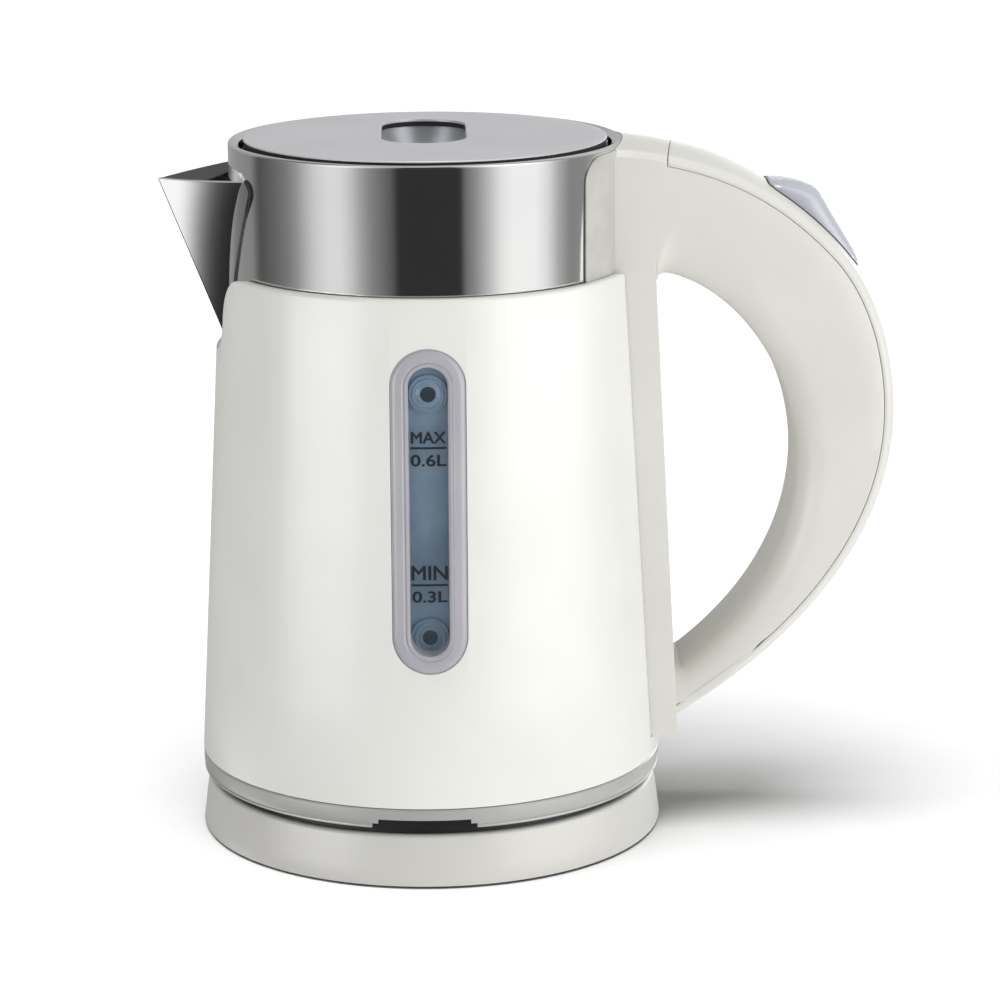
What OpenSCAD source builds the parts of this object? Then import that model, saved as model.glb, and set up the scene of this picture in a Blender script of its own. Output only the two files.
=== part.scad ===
// Cordless electric kettle on a round power base. Millimetres, +Z up, origin on the table at the base's axis,
// handle towards +X, water gauge towards -Y.

/* [Power base] */
// How far the base stands out past the shell, where it meets the table
base_margin = 0.3; // [0:0.1:4]
// How far the base's side leans in towards the top
base_draft = 1.7; // [0:0.1:4]
// Height of the base cover
base_h = 14; // [13:0.5:20]
// Wall of the base cover
base_wall = 2; // [1.5:0.1:3]
// Depth of the dish in the base's top
dish_depth = 0.8; // [0.2:0.1:1.2]
// Radius of the connector collar
collar_r = 14.5; // [13.5:0.1:15]
// Height of the connector collar over the base's top
collar_rise = 10; // [7:0.5:11]
// Radius of the cord inlet's bore
inlet_r = 3.5; // [2.5:0.1:3.8]
// Length of the cord inlet's bore
inlet_length = 8; // [5:0.5:12]
// Distance of the rubber foot ring from the base's edge
foot_inset = 7.5; // [4:0.5:12]
// Width of the rubber foot ring
foot_width = 5; // [3:0.5:6]
// Height of the foot ring under the bottom plate
foot_stand = 1.2; // [0.6:0.1:2]

/* [Pot] */
// Outer radius of the steel pot
pot_r = 51.9; // [51.4:0.1:52.3]
// Thickness of the pot's sheet
pot_wall = 0.6; // [0.4:0.1:0.9]
// Underside of the pot's floor
pot_floor_z = 44.5; // [43:0.5:50]
// Top of the pot's rim
rim_z = 187; // [184:0.5:195]
// Radius of the rim's rounded shoulder
shoulder_r = 3; // [2.4:0.1:3.2]
// Depth of the lip inside the mouth
lip_depth = 6; // [5:0.5:8]
// Height of the steam hole
steam_z = 165.5; // [163:0.5:167]

/* [Spout] */
// Distance from the pot to the spout's tip
spout_out = 18.6; // [12:0.1:24]
// Height of the tip under the rim
tip_drop = 10.5; // [8:0.5:14]
// Half width of the spout where it joins the pot, at its top
spout_half_w = 21.5; // [16:0.5:24]
// Height of the spout's lowest point
spout_foot_z = 128.5; // [120:0.5:134]
// Thickness of the spout's sheet
spout_wall = 0.8; // [0.6:0.1:1.2]
// Width of the flange that lies on the pot beside the spout
spout_flange = 4.6; // [3:0.2:6]

/* [Outer shell] */
// Distance from the pot to the shell's outer surface at its lower edge
shell_out_low = 10.3; // [9.6:0.1:12]
// Distance from the pot to the shell's outer surface at its upper edge
shell_out_top = 3; // [2.9:0.1:4.6]
// Lower edge of the shell
shell_low_z = 21.6; // [21:0.1:24]
// Upper edge of the shell
shell_top_z = 153.5; // [150:0.5:158]
// Wall of the shell
shell_wall = 2.2; // [1.6:0.1:2.4]
// Rounding of the shell's upper edge
shell_edge_r = 1; // [0.4:0.1:1.4]
// Half width of the notch around the spout
notch_half_w = 14.8; // [12:0.2:17]
// Lowest point of the notch around the spout
notch_foot_z = 132; // [128:0.5:136]
// Height of the trim ring under the shell
trim_h = 5.3; // [4:0.1:5.5]
// Half width of the stepped notch in the trim ring
trim_notch_half_w = 12; // [8:0.5:16]

/* [Water gauge] */
// Half width of the gauge window
gauge_half_w = 9.6; // [8.6:0.1:11]
// Lower end of the gauge window
gauge_low_z = 57.3; // [54:0.1:64]
// Upper end of the gauge window
gauge_top_z = 141; // [134:0.5:143]
// Half width of the water channel
channel_half_w = 5.1; // [4.4:0.1:6]
// Wall of the window in front of the water
window_wall = 1.5; // [1.1:0.1:1.6]
// Bore radius of the two nozzles
nozzle_bore_r = 1.4; // [1:0.1:1.6]

/* [Handle] */
// Half width of the handle
handle_half_w = 18.3; // [16:0.1:20]
// Width of the bevel along the handle's outer edges
handle_bevel = 1.75; // [1:0.05:2.2]
// Thickness of the cover strip
cover_t = 2.5; // [2.2:0.1:3.2]
// Rise of the cover strip at its middle
cover_crown = 1.2; // [0.4:0.1:1.6]
// Wall of the handle body
handle_wall = 2.4; // [1.8:0.1:2.8]
// Lower end of the column on the body
column_foot_z = 27; // [24:0.5:30]
// How far the column's face stands out past the shell at its lower end
column_out = 4.1; // [3.8:0.1:5.3]
// Lean of the column's face towards the pot
column_lean = 2.9; // [2.6:0.05:3.2]
// Half width of the flange that hugs the pot
flange_half_w = 32.7; // [26:0.1:36]
// Thickness of that flange
flange_t = 0.95; // [0.7:0.05:1.2]

/* [Switch] */
// Width of the rocker
rocker_w = 19; // [15:0.5:21]
// Half length of the rocker
rocker_half_l = 16; // [14:0.5:16.5]
// Height of the rocker's crest
rocker_crest = 7.3; // [5:0.1:9]
// Radius of the rocker's pin
pin_r = 1.25; // [1:0.05:1.5]

/* [Lid] */
// Gap between the lid and the pot's mouth
lid_gap = 0.6; // [0.4:0.1:1.2]
// Thickness of the lid's top
lid_t = 2.2; // [1.8:0.1:2.6]
// Half width of the grip recess
grip_half_w = 11.2; // [9:0.1:12.5]
// Half length of the grip recess
grip_half_l = 23.6; // [18:0.1:24]
// Distance of the grip recess behind the lid's centre
grip_offset = 9.1; // [0:0.1:9.4]
// Depth of the lid below the rim
lid_depth = 17; // [15:0.5:19]

/* [Hidden] */
$fn = 96;

// Clearances
eps = 0.01;
face_gap = 0.05;      // between pieces of one assembly that lie on each other
fit_gap = 0.3;        // between pieces that move past each other
lift_gap = 0.4;       // between the base's top and the jug's underside
pin_gap = 0.05;       // round a turning pin

// Screws, shared by all pieces
screw_r = 1.45;
screw_hole_r = 1.5;
screw_head_r = 2.6;
screw_head_h = 1.4;

// Radii that follow the pot's
shell_low_r = pot_r + shell_out_low;
shell_top_r = pot_r + shell_out_top;
base_r = shell_low_r + base_margin;
spout_reach = pot_r + spout_out;
column_reach = shell_low_r + column_out;

// Base stack
plate_t = 2.4;
plate_low = foot_stand;
foot_groove = 0.8;
foot_inner_r = base_r - foot_inset - foot_width;
base_screw_orbit = foot_inner_r - 8;
base_screw_angles = [30, 150, 270];
boss_r = 3.4;
collar_flange_r = 21;
collar_flange_t = 2.5;
base_top_under = base_h - base_wall;
collar_top = base_h + collar_rise;
slot_inner_r = 8.2;
slot_outer_r = 11.8;
slot_floor_z = collar_top - 9;
earth_hole_r = 2.6;
inlet_z = 7.9;
inlet_seat_y = base_r - 2.6;
inlet_seat_r = 5;
inlet_boss_r = 5;

// Jug underside stack
socket_wall = 3.6;
socket_inner_r = collar_r + 0.6;
socket_outer_r = socket_inner_r + socket_wall;
jug_under = base_h + lift_gap;
socket_low = jug_under + 0.3;
socket_flange_r = socket_outer_r + 3;
socket_flange_t = 3;
socket_flange_low = collar_top + 1.6;
socket_top = socket_flange_low + socket_flange_t;
seat_top = socket_flange_low - fit_gap;
control_low = socket_top + fit_gap;
contact_ring_t = 1.2;
earth_pin_r = 1.9;
jug_base_gap = 0.6;
jug_base_r = shell_low_r - shell_wall - jug_base_gap;
jug_base_t = 2.4;
jug_wall = 2.2;
jug_screw_orbit = jug_base_r - 5.4;
jug_screw_angles = [60, 180, 300];
jug_boss_h = 15.7;
trim_low = shell_low_z - 0.25 - trim_h;
trim_r = shell_low_r - 0.1;

// Heater stack
heater_r = pot_r - 7.9;
heater_t = 3.2;
heater_low = pot_floor_z - heater_t;
control_r = 24;
element_orbit = control_r + 10;
element_w = 6.4;
element_h = 6;
control_top = heater_low - 0.8;
ear_orbit = 25.8;
ear_angles = [90, 210, 330];
ear_r = 3.4;
ear_low = heater_low - 5;
disc_orbit = 11;
disc_r = 6.6;

// Pot and spout
pot_corner_r = 4;
mouth_r = pot_r - shoulder_r - 0.4;
tip_z = rim_z - tip_drop;
spout_root_z = tip_z + 2.1;
spout_bulge = 1.4;
spout_rise = 5.2;
spout_anchor_x = pot_r - 8;

// Gauge
gauge_proud = 0.35;
nozzle_inset = 9.9;
nozzle_zs = [gauge_low_z + nozzle_inset - 0.4, gauge_top_z - nozzle_inset - 0.6];
nozzle_r = 2.4;
back_in_r = pot_r + 0.7;
back_t = 1.1;
back_out_r = back_in_r + back_t;
back_half_w = gauge_half_w - 1.1;

// Handle curves in the X-Z plane: the outer edge from the root to the foot, and the finger gap
root_x = pot_r - 3.9;
// Distances in X count from the column's face
function from_column(curve) = [for (p = curve) [column_reach + p[0], p[1]]];
back_points = [
    from_column([[-17.3, 185.8], [2.7, 183.8], [22.2, 179.4], [41.7, 158.7]]),
    from_column([[41.7, 158.7], [50.2, 149.9], [56.7, 134.3], [56.7, 115]]),
    from_column([[56.7, 115], [56.7, 72.8], [18.9, 44.4], [-0.1, 32.2]])];
gap_points = [
    from_column([[-3.3, 152.2], [16.6, 147.8], [31.8, 123.9], [31.8, 100.5]]),
    from_column([[31.8, 100.5], [31.8, 77.9], [19.3, 58], [1.3, 44.5]])];
gap_corner = from_column([[-4, 152.3], [-4.8, 152.2], [-5.4, 151.8], [-5.8, 151.1], [-6.1, 149.5]]);
bezier_steps = 16;
handle_back = path(back_points, bezier_steps);
handle_gap = path(gap_points, bezier_steps);
foot_top_z = 44.5;
ledge_end_x = column_reach + 2.7;     // the cover rests on a ledge up to here, then on the channel's walls
seam_x = column_reach - 1.9;        // the joint between the root and the cover crosses the handle's middle here
seam_turn = 5.6;      // and is turned by this much
cover_gap = 0.1;
column_top_z = shell_top_z - 1.5;
column_edge_r = 3;
column_low_corner = 2.5;
stud_zs = [39.3, 175];
stud_r = 1.9;
nut_r = 2.5;
strap_half_w = 10;
strap_t = 1.2;
strap_low = 36;
strap_r = pot_r + face_gap + strap_t;
root_wall_x = pot_r + 3.7;
loop_wall_x = column_reach + 0.2;     // the hollow loop begins here over its foot
tube_r = 4;
tube_bore_r = 2.6;
tube_end_x = column_reach + 14.7;

// Switch frame: its X lies along the handle, its Z points out of it
switch_at = [column_reach + 36.5, 0, 163.2];
switch_turn = 44.5;
pin_z = -4;
rocker_skirt = 3;
rocker_hub_r = 3.2;
slot_gap = 0.6;
housing_half_w = 12;
housing_half_l = 13;
housing_top = -8;
housing_low = -19;
ear_half_t = 1;
ear_half_l = 3;
ear_top = pin_z + 2.6;
ear_reach = rocker_w / 2 + fit_gap + 2 * ear_half_t;

// Switch leads, as points in the X-Z plane on each side of the handle's middle
lead_r = 1.1;
lead_y = 7;
lead_route = concat([for (d = [face_gap, 2]) from_switch(housing_half_l + d, housing_low + 3)],
    from_column([[37.9, 136], [39.7, 130], [41, 122], [41.9, 114], [42.3, 106], [41.7, 98], [40.2, 91],
        [37.9, 83.6], [35.3, 77.1], [32.1, 71.1], [28.6, 65.5], [24.5, 60.2], [20.2, 55.3], [15.5, 50.8],
        [10.1, 46.1], [5.2, 41.8], [2.2, 39.6], [-1.3, 38.3], [-5.3, 36.5], [-8.8, 34.5], [-13.3, 33.2],
        [-18.3, 32.8], [-26.3, 32.6], [-34.3, 32.6]]),
    [[control_r - 0.7, 32.6]]);

// Lid
lid_top = rim_z + 0.1;
lid_edge_r = 0.9;
lid_under = lid_top - lid_t;
lid_r = mouth_r - lid_gap;
plug_r = mouth_r - 2.9;
plug_wall = 1.6;
plug_low = rim_z - lid_depth;
plug_floor_t = 2;
grip_centre = [-0.4, grip_offset];
cup_gap = 1;
cup_wall = 1.4;
grip_lip = 0.7;
cup_top = lid_top - grip_lip - cup_gap;
seal_low = rim_z - lip_depth + 0.8;
seal_h = 2.5;
lid_screw_orbit = plug_r - 10.6;
lid_screw_angles = [0, 180, 270];
lid_plate_t = 0.6;

white = "#f1f0ea";
steel = "#b9bbbd";
brass = "#c9a24e";
black = "#1d1d1f";
lid_grey = "#c4c4c7";
trim_grey = "#a9abad";
gauge_blue = "#8fa3b4";
zinc = "#9fa3a6";

function bezier(p, n, first) = [for (i = [first:n]) let (t = i / n)
    pow(1 - t, 3) * p[0] + 3 * pow(1 - t, 2) * t * p[1] + 3 * (1 - t) * t * t * p[2] + pow(t, 3) * p[3]];
function path(curves, n) = [for (k = [0:len(curves) - 1]) each bezier(curves[k], n, k == 0 ? 0 : 1)];
function unit(v) = v / norm(v);
// Direction along a path at one of its points, and the path moved sideways to its left by d
function along(p, i) = unit(p[min(i + 1, len(p) - 1)] - p[max(i - 1, 0)]);
function beside(p, d) = [for (i = [0:len(p) - 1]) let (a = along(p, i)) p[i] + d * [-a[1], a[0]]];
function reversed(p) = [for (i = [len(p) - 1:-1:0]) p[i]];
function arc(c, r, a0, a1, n = 8) = [for (i = [0:n]) let (a = a0 + (a1 - a0) * i / n)
    c + r * [cos(a), sin(a)]];
function shell_r(z) = shell_low_r
    + (shell_top_r - shell_low_r) * (z - shell_low_z) / (shell_top_z - shell_low_z);
// A point of the switch frame's X-Z plane, in the jug's
function from_switch(x, z) = [switch_at[0] + x * cos(switch_turn) + z * sin(switch_turn),
    switch_at[2] - x * sin(switch_turn) + z * cos(switch_turn)];
function base_side_r(z) = base_r - base_draft * z / base_h;
function column_face_x(z) = column_reach - (z - column_foot_z) * tan(column_lean);

module ring(r0, r1, z0, z1) {
    translate([0, 0, z0]) difference() {
        cylinder(r = r1, h = z1 - z0);
        translate([0, 0, -1]) cylinder(r = r0, h = z1 - z0 + 2);
    }
}
module disc(r, z0, z1) { translate([0, 0, z0]) cylinder(r = r, h = z1 - z0); }
module around(angles, orbit) { for (a = angles) rotate([0, 0, a]) translate([orbit, 0, 0]) children(); }
module screw(z0, length) {
    disc(screw_head_r, z0, z0 + screw_head_h);
    disc(screw_r, z0, z0 + screw_head_h + length);
}
// A flat outline in X-Z, drawn half_w to each side of the X-Z plane
module slab_xz(half_w) {
    translate([0, half_w, 0]) rotate([90, 0, 0]) linear_extrude(2 * half_w) children();
}
// A stadium in X-Z that stands through the jug's front
module front_stadium(half_w, z0, z1, y0, y1) {
    translate([0, y1, 0]) rotate([90, 0, 0]) linear_extrude(y1 - y0) union() {
        translate([-half_w, z0 + half_w]) square([2 * half_w, z1 - z0 - 2 * half_w]);
        for (z = [z0 + half_w, z1 - half_w]) translate([0, z]) circle(half_w);
    }
}
module grip_stadium(grow, z0, z1) {
    half_w = grip_half_w + grow;
    run = grip_half_l - grip_half_w;
    translate([grip_centre[0], grip_centre[1], z0]) linear_extrude(z1 - z0) union() {
        translate([-half_w, -run]) square([2 * half_w, 2 * run]);
        for (y = [-run, run]) translate([0, y]) circle(half_w);
    }
}
// A round tube of 8 sides swept along points, with its rings square to the way
module lead(points, y, r) {
    sides = 8;
    n = len(points);
    rings = [for (i = [0:n - 1]) let (a = along(points, i)) for (k = [0:sides - 1])
        let (u = r * cos(360 * k / sides), v = r * sin(360 * k / sides))
        [points[i][0] - a[1] * u, y + v, points[i][1] + a[0] * u]];
    faces = concat(
        [[for (k = [0:sides - 1]) k]],
        [[for (k = [sides - 1:-1:0]) (n - 1) * sides + k]],
        [for (i = [0:n - 2]) for (k = [0:sides - 1]) let (m = (k + 1) % sides)
            [i * sides + k, (i + 1) * sides + k, (i + 1) * sides + m, i * sides + m]]);
    polyhedron(rings, faces);
}
module in_switch_frame() { translate(switch_at) rotate([0, switch_turn, 0]) children(); }

// ---- Power base ----
module base_cover() color(white) {
    low = 0.6;
    difference() {
        rotate_extrude() polygon(concat(
            [[base_side_r(low) - base_wall, low], [base_side_r(low), low]],
            arc([base_side_r(base_h) - 1, base_h - 1], 1, 0, 90, 4),
            [[base_side_r(base_h) - 3, base_h], [base_side_r(base_h) - 4, base_h - dish_depth],
             [collar_r + 4, base_h - dish_depth], [collar_r + 3, base_h], [collar_r + 0.2, base_h],
             [collar_r + 0.2, base_top_under], [base_side_r(base_top_under) - base_wall, base_top_under]]));
        inlet_cut();
    }
    around(base_screw_angles, base_screw_orbit)
        ring(screw_hole_r, boss_r, plate_low + plate_t, base_top_under + 0.4);
    // boss that carries the cord inlet
    intersection() {
        difference() {
            translate([0, inlet_seat_y - inlet_length, inlet_z]) rotate([-90, 0, 0])
                cylinder(r = inlet_boss_r, h = inlet_length + 2);
            inlet_cut();
        }
        rotate_extrude()
            polygon([[0, 0], [base_side_r(0) - 0.5, 0], [base_side_r(base_h) - 0.5, base_h], [0, base_h]]);
        translate([-base_r, 0, plate_low + plate_t + 0.1]) cube([2 * base_r, base_r, base_top_under]);
    }
}
module inlet_cut() {
    translate([0, inlet_seat_y - inlet_length - 1, inlet_z]) rotate([-90, 0, 0])
        cylinder(r = inlet_r, h = inlet_length + 6);
    translate([0, inlet_seat_y, inlet_z]) rotate([-90, 0, 0]) cylinder(r = inlet_seat_r, h = 5);
}
module base_plate() color(white) difference() {
    disc(base_side_r(plate_low + plate_t) - base_wall - 0.2, plate_low, plate_low + plate_t);
    ring(foot_inner_r, foot_inner_r + foot_width, plate_low - 1, plate_low + foot_groove);
    around(base_screw_angles, base_screw_orbit) {
        disc(screw_hole_r, 0, base_h);
        disc(screw_head_r + 0.2, 0, plate_low + screw_head_h);
    }
}
module foot_ring() color(black)
    ring(foot_inner_r + face_gap, foot_inner_r + foot_width - face_gap, 0, plate_low + foot_groove);
module base_connector() color(black) difference() {
    union() {
        disc(collar_flange_r, base_top_under - collar_flange_t, base_top_under);
        disc(collar_r, base_top_under - collar_flange_t, collar_top);
        around([60, 180, 300], 17) ring(1.6, 3, plate_low + plate_t, base_top_under - 0.4);
    }
    ring(slot_inner_r, slot_outer_r, slot_floor_z, collar_top + 1);
    disc(earth_hole_r, slot_floor_z, collar_top + 1);
}
module base_contacts() color(brass) {
    leaf = 0.5;
    leaf_w = 4;
    for (a = [0, 180]) rotate([0, 0, a]) {
        translate([slot_outer_r - leaf - fit_gap, -leaf_w / 2, slot_floor_z]) cube([leaf, leaf_w, 6]);
        translate([slot_inner_r + 0.1, -leaf_w / 2, slot_floor_z]) cube([leaf, leaf_w, 6]);
    }
    ring(earth_pin_r + fit_gap, earth_hole_r - 0.05, slot_floor_z, slot_floor_z + 5);
}
module base_screws() color(zinc) around(base_screw_angles, base_screw_orbit) screw(plate_low, 7.5);

// ---- Socket on the jug's underside ----
module socket_housing() color(black) difference() {
    union() {
        disc(socket_outer_r, socket_low, socket_top);
        disc(socket_flange_r, socket_flange_low, socket_top);
    }
    disc(socket_inner_r, socket_low - 1, socket_flange_low);
}
module socket_contacts() color(brass) {
    middle = (slot_inner_r + slot_outer_r) / 2;
    ring(middle - contact_ring_t / 2, middle + contact_ring_t / 2, slot_floor_z + 2, socket_flange_low);
    disc(earth_pin_r, slot_floor_z + 1, socket_flange_low);
}

// ---- Jug ----
module pot() color(steel) difference() {
    rotate_extrude() polygon(concat(
        [[0, pot_floor_z]],
        arc([pot_r - pot_corner_r, pot_floor_z + pot_corner_r], pot_corner_r, -90, 0),
        arc([pot_r - shoulder_r, rim_z - shoulder_r], shoulder_r, 0, 90),
        [[mouth_r + 0.15, rim_z - 0.15], [mouth_r, rim_z - 0.4], [mouth_r, rim_z - lip_depth],
         [mouth_r + pot_wall, rim_z - lip_depth], [mouth_r + pot_wall, rim_z - pot_wall - 0.4]],
        arc([pot_r - shoulder_r, rim_z - shoulder_r], shoulder_r - pot_wall, 80, 0),
        arc([pot_r - pot_corner_r, pot_floor_z + pot_corner_r], pot_corner_r - pot_wall, 0, -90),
        [[0, pot_floor_z + pot_wall]]));
    // way into the spout
    rotate([90, 0, -90]) translate([0, 0, pot_r - 8]) linear_extrude(12)
        polygon([[-spout_half_w + 2.5, spout_root_z - 1], [spout_half_w - 2.5, spout_root_z - 1],
                 [0, spout_foot_z + 6]]);
    translate([pot_r - 5, 0, steam_z]) rotate([0, 90, 0]) cylinder(r = tube_bore_r, h = 8);
    nozzle_holes(pot_r - 5, 8);
    // small vent in the rim beside the handle
    rotate([0, 0, -6.5]) translate([pot_r - shoulder_r + 0.3, 0, rim_z - 2]) cylinder(r = 0.6, h = 3);
}
// Half width of the spout's root, and the keel's distance from the axis, at height z
function root_y(z) = spout_half_w * (z - spout_foot_z) / (spout_root_z - spout_foot_z);
function keel_x(z) = pot_r - 0.2 + (spout_reach - pot_r + 0.2) * (z - spout_foot_z) / (tip_z - spout_foot_z);
// One bowed side of the spout in plan at height z, from the pot to the keel, moved inwards by inset
function spout_side(z, inset) = let (w = root_y(z) - inset, k = keel_x(z) - 1.2 * inset,
        x = sqrt(pow(pot_r, 2) - w * w), out = unit([w, k - x]), bow = spout_bulge * root_y(z) / spout_half_w,
        n = 8)
    [for (i = [0:n]) let (s = i / n) [x + (k - x) * s, w * (1 - s)] + 4 * bow * s * (1 - s) * out];
module spout_body(inset, z0) {
    levels = 7;
    top = spout_root_z + 2;
    loops = [for (j = [0:levels]) let (z = z0 + (top - z0) * j / levels, side = spout_side(z, inset))
        concat([for (q = concat([[spout_anchor_x, side[0][1]]], side)) [-q[0], -q[1], z]],
            [for (q = concat(reversed([for (i = [0:len(side) - 2]) side[i]]), [[spout_anchor_x, side[0][1]]]))
                [-q[0], q[1], z]])];
    m = len(loops[0]);
    polyhedron([for (loop = loops) each loop], concat(
        [[for (k = [m - 1:-1:0]) k]], [[for (k = [0:m - 1]) levels * m + k]],
        [for (j = [0:levels - 1]) for (i = [0:m - 1]) let (k = (i + 1) % m)
            [j * m + i, j * m + k, (j + 1) * m + k, (j + 1) * m + i]]));
}
module spout() color(steel) {
    difference() {
        spout_body(0, spout_foot_z + 0.4);
        spout_body(spout_wall, spout_foot_z + 2.6);
        disc(pot_r + face_gap, 0, 250);
        // the mouth's edge rises from the tip to the pot
        translate([-spout_reach, 0, tip_z]) rotate([0, -spout_rise, 0])
            translate([-5, -50, 0]) cube([60, 100, 20]);
    }
    // flange that lies on the pot
    wide = spout_half_w + spout_flange;
    intersection() {
        ring(pot_r + face_gap, pot_r + face_gap + 0.5, spout_foot_z, spout_root_z);
        rotate([90, 0, -90]) linear_extrude(2 * pot_r) difference() {
            polygon(concat([[0, spout_foot_z - 8]], arc([wide - 2.5, spout_root_z - 2.5], 2.5, 0, 90, 4),
                arc([2.5 - wide, spout_root_z - 2.5], 2.5, 90, 180, 4)));
            polygon([[0, spout_foot_z + 3], [spout_half_w - 0.6, spout_root_z + 1],
                [0.6 - spout_half_w, spout_root_z + 1]]);
        }
    }
}
module outer_shell() color(white) {
    slot_half_w = handle_half_w + 0.3;
    flare = 3;
    difference() {
        rotate_extrude() polygon(concat(
            [[shell_r(shell_low_z) - shell_wall, shell_low_z], [shell_r(shell_low_z), shell_low_z]],
            arc([shell_top_r - shell_edge_r, shell_top_z - shell_edge_r], shell_edge_r, 0, 90, 4),
            [[shell_top_r - shell_wall, shell_top_z]]));
        // slot for the handle's column, rounded at its upper corners
        rotate([90, 0, 90]) linear_extrude(shell_low_r + 5) difference() {
            translate([-slot_half_w - flare, column_foot_z - 0.3])
                square([2 * (slot_half_w + flare), shell_top_z]);
            for (side = [-1, 1]) translate([side * (slot_half_w + flare), 0]) {
                translate([-flare, 0]) square([2 * flare, shell_top_z - flare]);
                translate([0, shell_top_z - flare]) circle(flare);
            }
        }
        // notch for the spout, with wide round corners
        rotate([90, 0, -90]) linear_extrude(shell_low_r + 5) spout_notch();
        front_stadium(gauge_half_w + 0.25, gauge_low_z - 0.25, gauge_top_z + 0.25, -shell_low_r - 5, 0);
    }
    // screw bosses on ribs
    intersection() {
        around(jug_screw_angles, jug_screw_orbit) difference() {
            union() {
                disc(3.6, shell_low_z + fit_gap, shell_low_z + fit_gap + jug_boss_h);
                translate([0, -1, shell_low_z + fit_gap]) cube([10, 2, jug_boss_h]);
            }
            disc(screw_hole_r, 0, 60);
        }
        rotate_extrude() polygon([[0, shell_low_z], [shell_low_r - 1, shell_low_z],
            [shell_r(60) - 1, 60], [0, 60]]);
    }
}
module spout_notch() {
    flare = 12;
    low_r = 8;
    translate([-notch_half_w, notch_foot_z + low_r]) square([2 * notch_half_w, shell_top_z]);
    translate([-notch_half_w + low_r, notch_foot_z]) square([2 * (notch_half_w - low_r), low_r + 1]);
    for (side = [-1, 1]) {
        translate([side * (notch_half_w - low_r), notch_foot_z + low_r]) circle(low_r);
        difference() {
            translate([side > 0 ? 0 : -notch_half_w - flare, shell_top_z - flare])
                square([notch_half_w + flare, flare + 5]);
            translate([side * (notch_half_w + flare), shell_top_z - flare]) circle(flare);
        }
    }
}
// Seal under the shell's upper edge, left out at the handle and at the spout
module shell_seal() color(black) difference() {
    ring(pot_r + face_gap, shell_top_r - shell_wall, shell_top_z - 4, shell_top_z - 1.4);
    translate([0, -handle_half_w - fit_gap, 0]) cube([pot_r + 5, 2 * (handle_half_w + fit_gap), shell_top_z]);
    translate([-pot_r - 5, -spout_half_w, 0]) cube([pot_r + 5, 2 * spout_half_w, shell_top_z]);
}
module trim_ring() color(trim_grey) {
    top = shell_low_z - 0.25;
    difference() {
        rotate_extrude() polygon([[jug_base_r + 0.1, trim_low], [trim_r - 0.5, trim_low],
            [trim_r, trim_low + 1.2], [trim_r, top], [jug_base_r + 0.1, top]]);
        // stepped notch at the front
        rotate([0, 0, -2]) {
            for (step = [[0, 3.4], [1.6, 2.4]])
                translate([-trim_notch_half_w - step[0], -trim_r - 2, trim_low - 1])
                    cube([2 * (trim_notch_half_w + step[0]), 8, step[1]]);
        }
    }
}
module jug_base() color(black) difference() {
    union() {
        disc(jug_base_r, jug_under, jug_under + jug_base_t);
        ring(jug_base_r - jug_wall, jug_base_r, jug_under, shell_low_z + 0.25);
        ring(socket_outer_r + fit_gap, socket_flange_r + 2.4, jug_under, seat_top);
        ring(socket_flange_r + fit_gap, socket_flange_r + 2.4, jug_under, socket_top);
        around(jug_screw_angles, jug_screw_orbit) disc(3.8, jug_under, shell_low_z + 0.25);
    }
    disc(socket_outer_r + fit_gap, 0, seat_top + 10);
    disc(socket_flange_r + fit_gap, seat_top, 60);
    around(jug_screw_angles, jug_screw_orbit) {
        disc(screw_hole_r, 0, 60);
        disc(screw_head_r + 0.2, 0, jug_under + 3);
    }
}
module jug_screws() color(zinc)
    around(jug_screw_angles, jug_screw_orbit) screw(jug_under + 3 - screw_head_h, 12);
module heater_plate() color("#c9cbcc") difference() {
    disc(heater_r, heater_low, pot_floor_z);
    around(ear_angles, ear_orbit) disc(screw_hole_r, heater_low - 1, pot_floor_z - 0.6);
}
module heating_element() color("#8d8f90") {
    rotate([0, 0, 25]) rotate_extrude(angle = 310)
        translate([element_orbit - element_w / 2, heater_low - element_h]) square([element_w, element_h]);
    // cold pins
    for (a = [28, 332]) rotate([0, 0, a]) translate([element_orbit, 0, heater_low - element_h - 4])
        cylinder(r = 1.4, h = 4.5);
}
module control_unit() color(black) difference() {
    union() {
        disc(control_r, control_low, control_top);
        around(ear_angles, ear_orbit) disc(ear_r, ear_low, heater_low);
    }
    around([0, 180], disc_orbit) disc(disc_r + 0.4, control_top - 1, control_top + 1);
    around(ear_angles, ear_orbit) disc(screw_hole_r, 0, 60);
    around(ear_angles, ear_orbit) disc(screw_head_r + 0.2, 0, ear_low);
}
module dry_boil_discs() color(zinc)
    around([0, 180], disc_orbit) disc(disc_r, control_top - 1, control_top - 0.4);
module control_screws() color(zinc) around(ear_angles, ear_orbit) screw(ear_low - screw_head_h, 7);

// ---- Water gauge ----
// Round holes for the nozzles, from the given distance outwards
module nozzle_holes(from, length) {
    for (z = nozzle_zs) translate([0, -from, z]) rotate([90, 0, 0])
        cylinder(r = nozzle_r + face_gap, h = length);
}
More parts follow.
